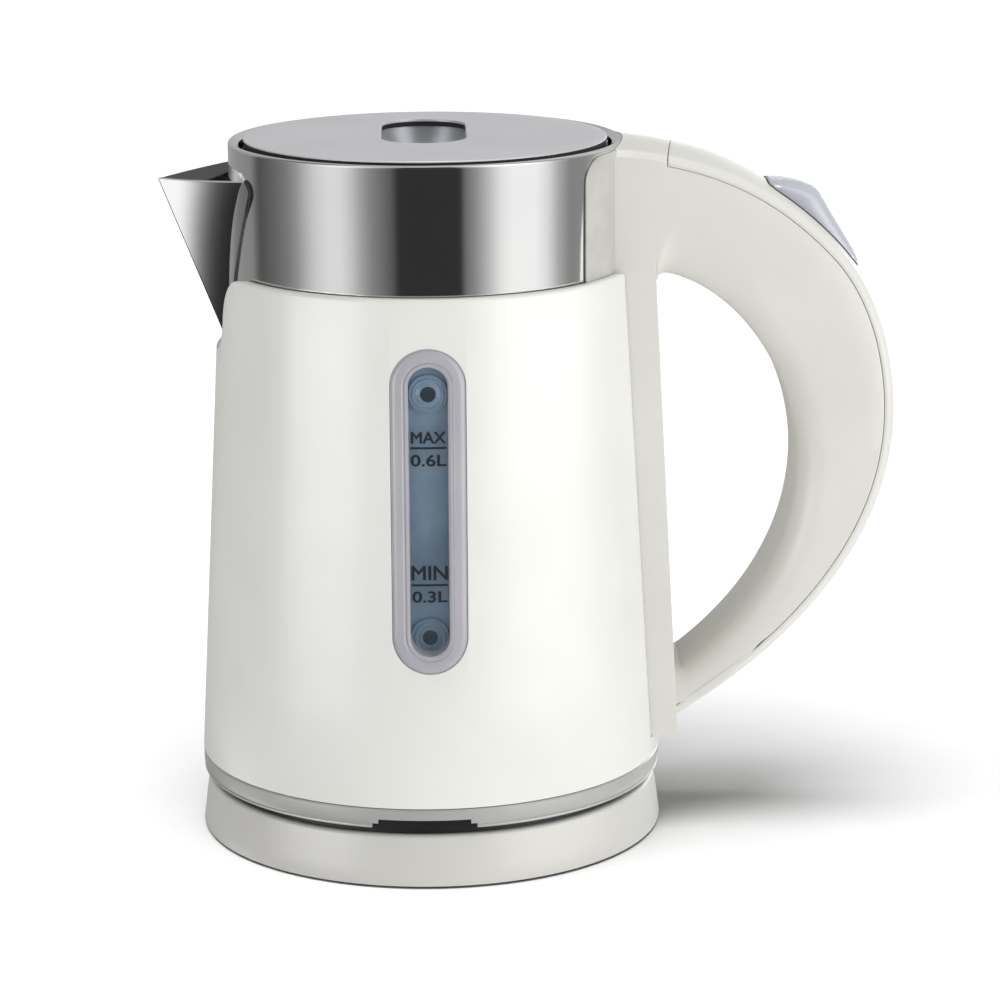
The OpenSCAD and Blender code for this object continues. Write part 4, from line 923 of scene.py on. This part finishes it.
# back and gap are curves measured from the column's face at its foot: the handle's outer line and the edge
# of the finger opening. root is that opening's upper corner, and lean the slope of the column's face.
handle = {"halfW": 18.3, "bevel": 1.75, "coverT": 2.5, "crown": 1.2, "seamGap": 0.12, "easing": 0.35,
          "innerDeep": 7.0, "innerLong": 8.5, "rootLong": 17.0, "footSetback": 0.9, "lean": 2.9,
          "columnR": 4.2, "columnFoot": 27.0, "columnTop": 172.0, "footR": 2.5, "cheekDrop": 34,
          "cheekTop": 176.0, "cheekT": 1.2, "flangeHalfW": 32.7, "flangeT": 0.45, "flangeR": 6.5,
          "flangeEasing": 0.2, "seamX": -1.9, "seamTurn": 5.6,
          "back": [[(-17.3, 185.8), (2.7, 183.8), (22.2, 179.4), (41.7, 158.7)],
                   [(41.7, 158.7), (50.2, 149.9), (56.7, 134.3), (56.7, 115)],
                   [(56.7, 115), (56.7, 72.8), (18.9, 44.4), (-0.1, 32.2)]],
          "root": [(-12.3, 151.0), (-8.6, 148.2), (-6.6, 147.4), (-6.2, 148.6), (-6.1, 149.5), (-5.9, 150.5),
                   (-5.4, 151.4), (-4.8, 151.95), (-4, 152.2)],
          "gap": [[(-3.3, 152.2), (16.6, 147.8), (31.8, 123.9), (31.8, 100.5)],
                  [(31.8, 100.5), (31.8, 77.9), (19.3, 58), (1.3, 44.5)]],
          "reach": 57.9}
# at is the key's place from the column's face, turn its slope in degrees, crest its height over that place;
# the pin's hub sits below it
switch = {"at": (35.8, 163.9), "turn": 44.5, "halfL": 16.0, "width": 19.0, "crest": 7.3, "skirt": 3.0,
          "gap": 0.9, "cornerR": 4.0, "hubR": 3.2, "hubZ": -4, "shadowBeadR": 0.22, "openingShift": 0.35}

faceX = highMm("handle_cover")[0] - handle["reach"]


def bezier(p, t):
    s = 1 - t
    return tuple(s ** 3 * a + 3 * s * s * t * b + 3 * s * t * t * c + t ** 3 * d for a, b, c, d in zip(*p))


def drawn(parts):
    points = [bezier(parts[0], 0)]
    for part in parts:
        points += [bezier(part, i / 60) for i in range(1, 61)]
    return [(faceX + x, z) for x, z in points]


def evenly(points, count):
    return spread(points, [i / (count - 1) for i in range(count)])


# Unit normals of a line of points, to its left
def normals(points):
    out = []
    for i in range(len(points)):
        a, b = points[max(0, i - 1)], points[min(len(points) - 1, i + 1)]
        way = Vector((b[0] - a[0], b[1] - a[1])).normalized()
        out.append((-way[1], way[0]))
    return out


# The handle's half width: it narrows a little towards its foot
def halfAt(z):
    return handle["halfW"] - handle["footSetback"] * (1 - smoothstep(36, 52, z))


def switchPlace():
    turn = math.radians(switch["turn"])
    along = (math.cos(turn), 0, -math.sin(turn))
    out = (math.sin(turn), 0, math.cos(turn))
    return axes(along, (0, 1, 0), out, (faceX + switch["at"][0], 0, switch["at"][1]))


def roundedBox(halfX, halfY, r):
    corners = ((halfX - r, halfY - r), (r - halfX, halfY - r), (r - halfX, r - halfY), (halfX - r, r - halfY))
    return [p for k, (x, y) in enumerate(corners) for p in arc(x, y, r, 90 * k, 90 * k + 90, 6)]


def makeLoop():
    back = drawn(handle["back"])
    sink = handle["coverT"] + handle["seamGap"]
    outer = [(p[0] - n[0] * sink, p[1] - n[1] * sink) for p, n in zip(back, normals(back))]
    outer = [p for p in outer if (p[0] > potR + 2 or p[1] < 100) and (p[0] > faceX - 3 or p[1] > 100)]
    inner = [(faceX + x, z) for x, z in handle["root"]] + drawn(handle["gap"]) + [(faceX - 3, 44.3)]
    count, deep = 110, handle["innerDeep"]
    rings = []
    for i, (o, c) in enumerate(zip(evenly(outer, count), evenly(inner, count))):
        o, c = Vector(o), Vector(c)
        share = 1 - smoothstep(0.07, 0.32, i / (count - 1))
        long = handle["innerLong"] + (handle["rootLong"] - handle["innerLong"]) * share
        way, reach = (o - c).normalized(), (o - c).length
        half = halfAt((o[1] + c[1]) / 2)
        # half the section, from the cover's seam inwards to the rounded side of the opening
        side = [(reach, half - 0.3), (reach - 0.12, half - 0.1), (reach - 0.35, half),
                (reach * 0.66 + long * 0.34, half)]
        side += [(long * (1 - math.sin(a)), half - deep * (1 - math.cos(a)))
                 for a in [math.radians(9 * k) for k in range(11)]]
        flat = (half - deep) / 2
        section = (side + [(0, flat), (0, 0), (0, -flat)] + [(d, -y) for d, y in reversed(side)]
                   + [(reach, -half / 2), (reach, 0), (reach, half / 2)])
        rings.append([Vector((c[0] + way[0] * d, y, c[1] + way[1] * d)) for d, y in section])
    start = [Vector((roundAt(potR + 0.1, p.y), p.y, p.z)) for p in rings[0]]
    return lofted([start] + rings)


def makeColumn():
    lean = math.tan(math.radians(handle["lean"]))
    foot, top, r = handle["columnFoot"], handle["columnTop"], handle["footR"]
    outline = [(potR + 0.3, foot), (faceX - r, foot)] + arc(faceX - r - 0.05, foot + r, r, -80, 0, 6)
    outline += [(faceX - (z - foot) * lean, z) for z in (60, 90, 120, 150, top)] + [(potR + 0.3, top)]
    half = handle["halfW"] - 0.02
    shape = prism(outline, 2 * half, backFrom(-half))
    roundEdges(shape, handle["columnR"], 8, 80,
               lambda p: p.x > faceX - (p.z - foot) * lean - 0.6 and abs(p.y) > 10 and p.z < top - 0.5)
    return shape


# Fills the handle's root to the pot's round wall above the shell and a little way down inside it
def makeCheek():
    low, high, far = shellTop - handle["cheekDrop"], handle["cheekTop"], potR + handle["cheekT"]
    rings = []
    for k in range(25):
        y = (handle["halfW"] - 0.03) * math.sin(math.radians(-90 + 7.5 * k))
        x = roundAt(potR + 0.25, y)
        rings.append([(x, y, low), (far, y, low), (far, y, high), (x, y, high)])
    return lofted(rings)


def makeFlange():
    wide, corner = handle["flangeHalfW"], handle["flangeR"]
    low, top = shellTop - 1.5, handle["back"][0][0][1] - 0.4

    def place(u, v):
        y = wide * math.sin(u * math.pi / 2)
        z = low + (cornered(y, wide, top, corner) - low) * (v + 1) / 2
        return roundAt(potR + 0.1 + handle["flangeT"], y), y, z

    shape = bent(72, 20, place)
    facing(shape, (1, 0, 0))
    bmesh.ops.solidify(shape, geom=shape.faces[:], thickness=handle["flangeT"])
    roundEdges(shape, handle["flangeEasing"], 3, 60)
    finished(shape, "handleFlange", "jug", flangePearl, None, 40)


# The strip's cross-section, sideways and outwards, deep below its line and crowned over it
def stripSection(deep, half):
    low = -handle["bevel"]
    shares = [2 * i / 16 - 1 for i in range(17)]
    top = [((half + low) * s, handle["crown"] * (1 - s * s)) for s in shares]
    return [(-half, -deep), (-half, low)] + top + [(half, low), (half, -deep)]


def strip(points, deep):
    rings = []
    for p, n in zip(points, normals(points)):
        section = stripSection(deep, halfAt(p[1]) + 0.01)
        rings.append([Vector((p[0] + n[0] * h, y, p[1] + n[1] * h)) for y, h in section])
    return lofted(rings)


def cutOff(shape, point, normal):
    cut = bmesh.ops.bisect_plane(shape, geom=shape.verts[:] + shape.edges[:] + shape.faces[:], plane_co=point,
                                 plane_no=normal, clear_outer=True)["geom_cut"]
    bmesh.ops.holes_fill(shape, edges=[e for e in cut if isinstance(e, bmesh.types.BMEdge)])
    faceOut(shape)


def makeHandle():
    back = drawn(handle["back"])
    turn = math.radians(handle["seamTurn"])
    seam, seamWay = Vector((faceX + handle["seamX"], 0, 0)), Vector((math.cos(turn), -math.sin(turn), 0))
    rootTop = strip(evenly([p for p in back if p[0] < faceX + 6 and p[1] > 100], 24), 6.0)
    cutOff(rootTop, seam, seamWay)
    # its far end is wrapped round the pot
    for vert in rootTop.verts:
        if vert.co.x < potR + 0.2:
            vert.co.x = roundAt(potR + 0.1, min(potR, abs(vert.co.y)))
    roundEdges(rootTop, handle["easing"], 2, 33,
               lambda p: p.x > potR - 1 and p.z > 178.9 - 0.4 * (p.x - faceX))
    loop = makeLoop()
    pocket = roundedBox(switch["halfL"] + switch["gap"], switch["width"] / 2 + 1.4, 1.5)
    carve(loop, prism(pocket, 20, switchPlace() @ Matrix.Translation((0, 0, -8.4))))
    body = joined(loop, makeColumn(), makeCheek(), rootTop)
    finished(body, "handleBody", "jug", satinWhite, "handle_body", 26)
    # the cover strip runs a little past the column's foot and is cut off along its face
    line = [p for p in back if p[0] > faceX - 7 or p[1] < 100]
    last, before = line[-1], line[-2]
    way = Vector((last[0] - before[0], last[1] - before[1])).normalized() * 2.2
    cover = strip(evenly(line + [(last[0] + way[0], last[1] + way[1])], 130), handle["coverT"])
    cutOff(cover, seam + seamWay * 0.28, -seamWay)
    lean = math.radians(handle["lean"])
    inwards = Vector((-math.cos(lean), 0, -math.sin(lean)))
    cutOff(cover, Vector((faceX + 0.12, 0, handle["columnFoot"])), inwards)
    roundEdges(cover, handle["easing"], 2, 33)
    # longer at the foot, where the key swings in
    opening = roundedBox(switch["halfL"] + 0.75, switch["width"] / 2 + 0.4, switch["cornerR"] + 0.4)
    carve(cover, prism(opening, 20, switchPlace() @ Matrix.Translation((switch["openingShift"], 0, -8))))
    finished(cover, "handleCover", "jug", satinWhite, "handle_cover", 26)


# How far the key stands over the strip at a place along it: a steep rise, a long fall and a rounded tip
def keyHeight(along):
    half, crest = switch["halfL"], switch["crest"]
    rise = 0.3 + (crest - 0.3) * math.sin(math.radians(min(90, 7.5 * (along + half))))
    fall = crest - 0.252 * (along + 4.2)
    tip = 2.6 * math.sqrt(max(0, 1 - max(0, (along - half + 1.3) / 1.32) ** 2))
    # the crest is rounded where the two come close
    top = min(rise, fall) - 0.125 * max(0, 1 - abs(rise - fall) / 0.5) ** 2
    return min(top, tip) if along > half - 1.3 else top


# Where the strip's middle line runs, seen from the switch's own place
def stripBelow(along):
    line = [switchPlace().inverted() @ Vector((x, 0, z)) for x, z in drawn(handle["back"])]
    near = [p for p in line if abs(p.x) < 30 and p.z > -12]
    for a, b in zip(near, near[1:]):
        if a.x <= along <= b.x:
            return a.z + (b.z - a.z) * (along - a.x) / (b.x - a.x)
    return 0


# A thin black bead that lies on the crowned strip round the key: painted shadow for the dark gap at the key's
# foot
def makeKeyShadowBead():
    line = roundedBox(switch["halfL"] + 0.12, switch["width"] / 2 + 0.12, switch["cornerR"])
    path = []
    for a, b in zip(line, line[1:] + line[:1]):
        steps = max(1, int(math.dist(a, b)))
        path += [(a[0] + (b[0] - a[0]) * i / steps, a[1] + (b[1] - a[1]) * i / steps) for i in range(steps)]
    flat = handle["halfW"] - handle["bevel"]
    path = [Vector((x, y, stripBelow(x) + handle["crown"] * (1 - (y / flat) ** 2) + 0.05)) for x, y in path]
    place, up = switchPlace(), Vector((0, 0, 1))
    rings = []
    for i, spot in enumerate(path):
        side = (path[(i + 1) % len(path)] - path[i - 1]).normalized().cross(up).normalized()
        rings.append([place @ p for p in circle(spot, side, up, switch["shadowBeadR"], 10)])
    finished(lofted(rings, wayClosed=True), "rockerShadowBead", "jug", rubber, None, 60)


def makeRocker():
    half, corner, skirt, halfWide = switch["halfL"], switch["cornerR"], switch["skirt"], switch["width"] / 2
    place, seat = switchPlace(), -0.6
    rings = []
    for k in range(61):
        along = -half * math.cos(math.pi * k / 60)
        wide = cornered(along, half, halfWide, corner)
        tall = keyHeight(along) - seat
        foot = [(wide, -skirt), (wide, (seat - skirt) / 2)]
        # a cushion shape: flatter on top and steeper at the sides than a round one
        sides = [(math.cos(math.pi * step / 32), math.sin(math.pi * step / 32)) for step in range(33)]
        top = [(math.copysign(wide * abs(c) ** 0.62, c), seat + tall * s ** 0.62) for c, s in sides]
        section = foot + top + [(-y, z) for y, z in reversed(foot)]
        rings.append([place @ Vector((along, y, z)) for y, z in section])
    halfHub = halfWide - 0.05
    hub = prism(disc(switch["hubR"], 36, switch["hubZ"]), 2 * halfHub, place @ frontFrom(halfHub))
    shape = joined(lofted(rings), hub)
    finished(shape, "rocker", "switch", rockerSilver, "switch_rocker", 45)


makeHandle()
makeFlange()
makeRocker()
makeKeyShadowBead()

# the grip is a slot a little off the lid's middle; bowl gives the cup's inside as steps past the grip's
# outline and heights over the cup's floor
lid = {"thick": 2.2, "raised": 0.25, "edgeR": 0.35, "gripHalfW": 11.2, "gripHalfL": 23.6, "gripX": -0.4,
       "gripY": 9.1, "lip": 0.7, "lugTurn": -6.5, "sealDeep": 3.8, "cupOut": 2.6,
       "bowl": [(-10.5, 1.2), (-6.5, 1.2), (-4.2, 1.9), (-2.6, 3.6), (-1.2, 6.2), (0.2, 9.6), (0.9, 11.8)]}

lidTop = highMm("lid_cover")[2] + lid["raised"]
lidR = -lowMm("lid_cover")[0]
lidEdge = lidTop - lid["edgeR"]


# Rings run in even compass directions from the grip's middle, so that any two of them pair up and the faces
# between them stay straight. reach gives a ring's distance in a direction.
def compassRing(reach, z):
    ring = []
    for k in range(192):
        c, s = math.cos(math.tau * k / 192), math.sin(math.tau * k / 192)
        d = reach(c, s)
        ring.append(Vector((lid["gripX"] + d * c, lid["gripY"] + d * s, z)))
    return ring


def gripRing(grow, z):
    half, run = lid["gripHalfW"] + grow, lid["gripHalfL"] - lid["gripHalfW"]

    def reach(c, s):
        d = half / abs(c) if abs(c) > 1e-9 else 1e9
        # on a round end the ray meets the end's own circle
        return run * abs(s) + math.sqrt(max(0, half * half - (run * c) ** 2)) if abs(d * s) > run else d

    return compassRing(reach, z)


def roundRing(r, z):
    def reach(c, s):
        b = lid["gripX"] * c + lid["gripY"] * s
        return -b + math.sqrt(b * b - (lid["gripX"] ** 2 + lid["gripY"] ** 2) + r * r)

    return compassRing(reach, z)


def makeLidCover():
    under, lip, edgeR = lidTop - lid["thick"], lidTop - lid["lip"], lid["edgeR"]
    inner = [(0, lip), (0, lidTop - 0.3), (0.1, lidTop - 0.1), (0.3, lidTop), (0.8, lidTop)]
    rings = [gripRing(grow, z) for grow, z in inner]
    steps = [(lidR - edgeR - 2.5, lidTop)] + arc(lidR - edgeR, lidEdge, edgeR, 0, 90, 6)[::-1]
    steps += [(lidR - 0.05, lidEdge - 0.08), (lidR - 0.9, lidEdge - 0.1), (lidR - 1.2, under)]
    rings += [roundRing(r, z) for r, z in steps]
    rings += [gripRing(3.4, under), gripRing(2.8, under), gripRing(2.8, lip)]
    turned = Matrix.Rotation(math.radians(lid["lugTurn"]), 4, "Z")
    lug = prism(roundedBox(0.75, 1.0, 0.2), 1.2, turned @ Matrix.Translation((lidR - 0.55, 0, under)))
    cover = joined(lofted(rings, wayClosed=True), lug)
    finished(cover, "lidCover", "lid", lidSilver, "lid_cover")


# The black lip seal between the cover and the pot's mouth, partly a real seal and partly painted shade for
# the dark gap under the cover's edge, and a black ring round the grip, which is painted shadow for the dark
# slit under the opening's edge
def makeLidSealsAndShade():
    inner, foot = lidR - 1.6, lidTop - lid["sealDeep"]
    seal = [(inner, lidEdge - 0.15), (lidR - 0.4, lidEdge - 0.12), (lidR - 0.25, lidEdge - 0.3),
            (lidR - 0.25, foot + 0.4), (lidR - 0.5, foot), (inner, foot)]
    finished(spun(seal, 192), "lidEdgeSealAndShade", "lid", rubber, None, 50)
    low, high = lidTop - 1.9, lidTop - 0.75
    shadeRing = [gripRing(grow, z) for grow, z in ((0.12, low), (0.12, high), (1.7, high), (1.7, low))]
    finished(lofted(shadeRing, wayClosed=True), "gripShadeRing", "lid", rubber, None, 50)


def makeGripCup():
    floor, top, out = lowMm("grip_cup")[2], highMm("grip_cup")[2], lid["cupOut"]
    steps = [(grow, floor + z) for grow, z in lid["bowl"]]
    steps += [(1.2, top - 0.2), (1.4, top), (out - 0.2, top), (out, top - 0.2), (out, floor), (-10.5, floor)]
    shape = lofted([gripRing(grow, z) for grow, z in steps])
    finished(shape, "gripCup", "lid", gripGrey, "grip_cup")


makeLidCover()
makeLidSealsAndShade()
makeGripCup()

# nodes that keep their CAD mesh and only get a finish
keptFinishes = [
    (shadedBaseWhite, ("base_plate",)),
    (rubber, ("foot_ring", "shell_seal", "lid_seal")),
    (blackPlastic, ("base_connector", "socket_housing", "jug_base", "control_unit", "switch_housing")),
    (copperAlloy, ("base_contacts", "socket_contacts", "dry_boil_discs", "steam_disc", "switch_contacts")),
    (boltZinc, ("base_screws", "jug_screws", "control_screws", "gauge_nuts", "handle_strap", "handle_nuts",
                "toggle_spring", "rocker_pin", "lid_screws")),
    (castAluminium, ("heater_plate", "heating_element")),
    (waterBlue, ("gauge_back",)),
    (clearSilicone, ("gauge_seals",)),
    (potSteel, ("gauge_nozzles", "lid_plate")),
    (innerWhite, ("steam_tube", "lid_plug")),
    (leadSleeve, ("switch_leads",)),
]
for finish, nodes in keptFinishes:
    for node in nodes:
        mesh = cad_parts[node].data
        mesh.materials.clear()
        mesh.materials.append(finish)
print("finished", sum(len(nodes) for finish, nodes in keptFinishes), "kept nodes")

floorSize = {"half": 6.0}  # metres


def makeFloor():
    # matt paper, almost without highlights, so the shadow's soft edge stays clean
    paper = mouldedPlastic("matt pale paper", "#ababab", "#a9a9a9", 0.8, 0.6, 0.01)
    shape = bmesh.new()
    bmesh.ops.create_grid(shape, x_segments=4, y_segments=4, size=floorSize["half"])
    mesh = bpy.data.meshes.new("studioFloor")
    shape.to_mesh(mesh)
    shape.free()
    mesh.materials.append(paper)
    floor = bpy.data.objects.new("studioFloor", mesh)
    scene.collection.objects.link(floor)
    floorLight.objects.link(floor)
    leaveOut(floor, notFloor, notSteel)
    floor.visible_glossy = False


makeFloor()
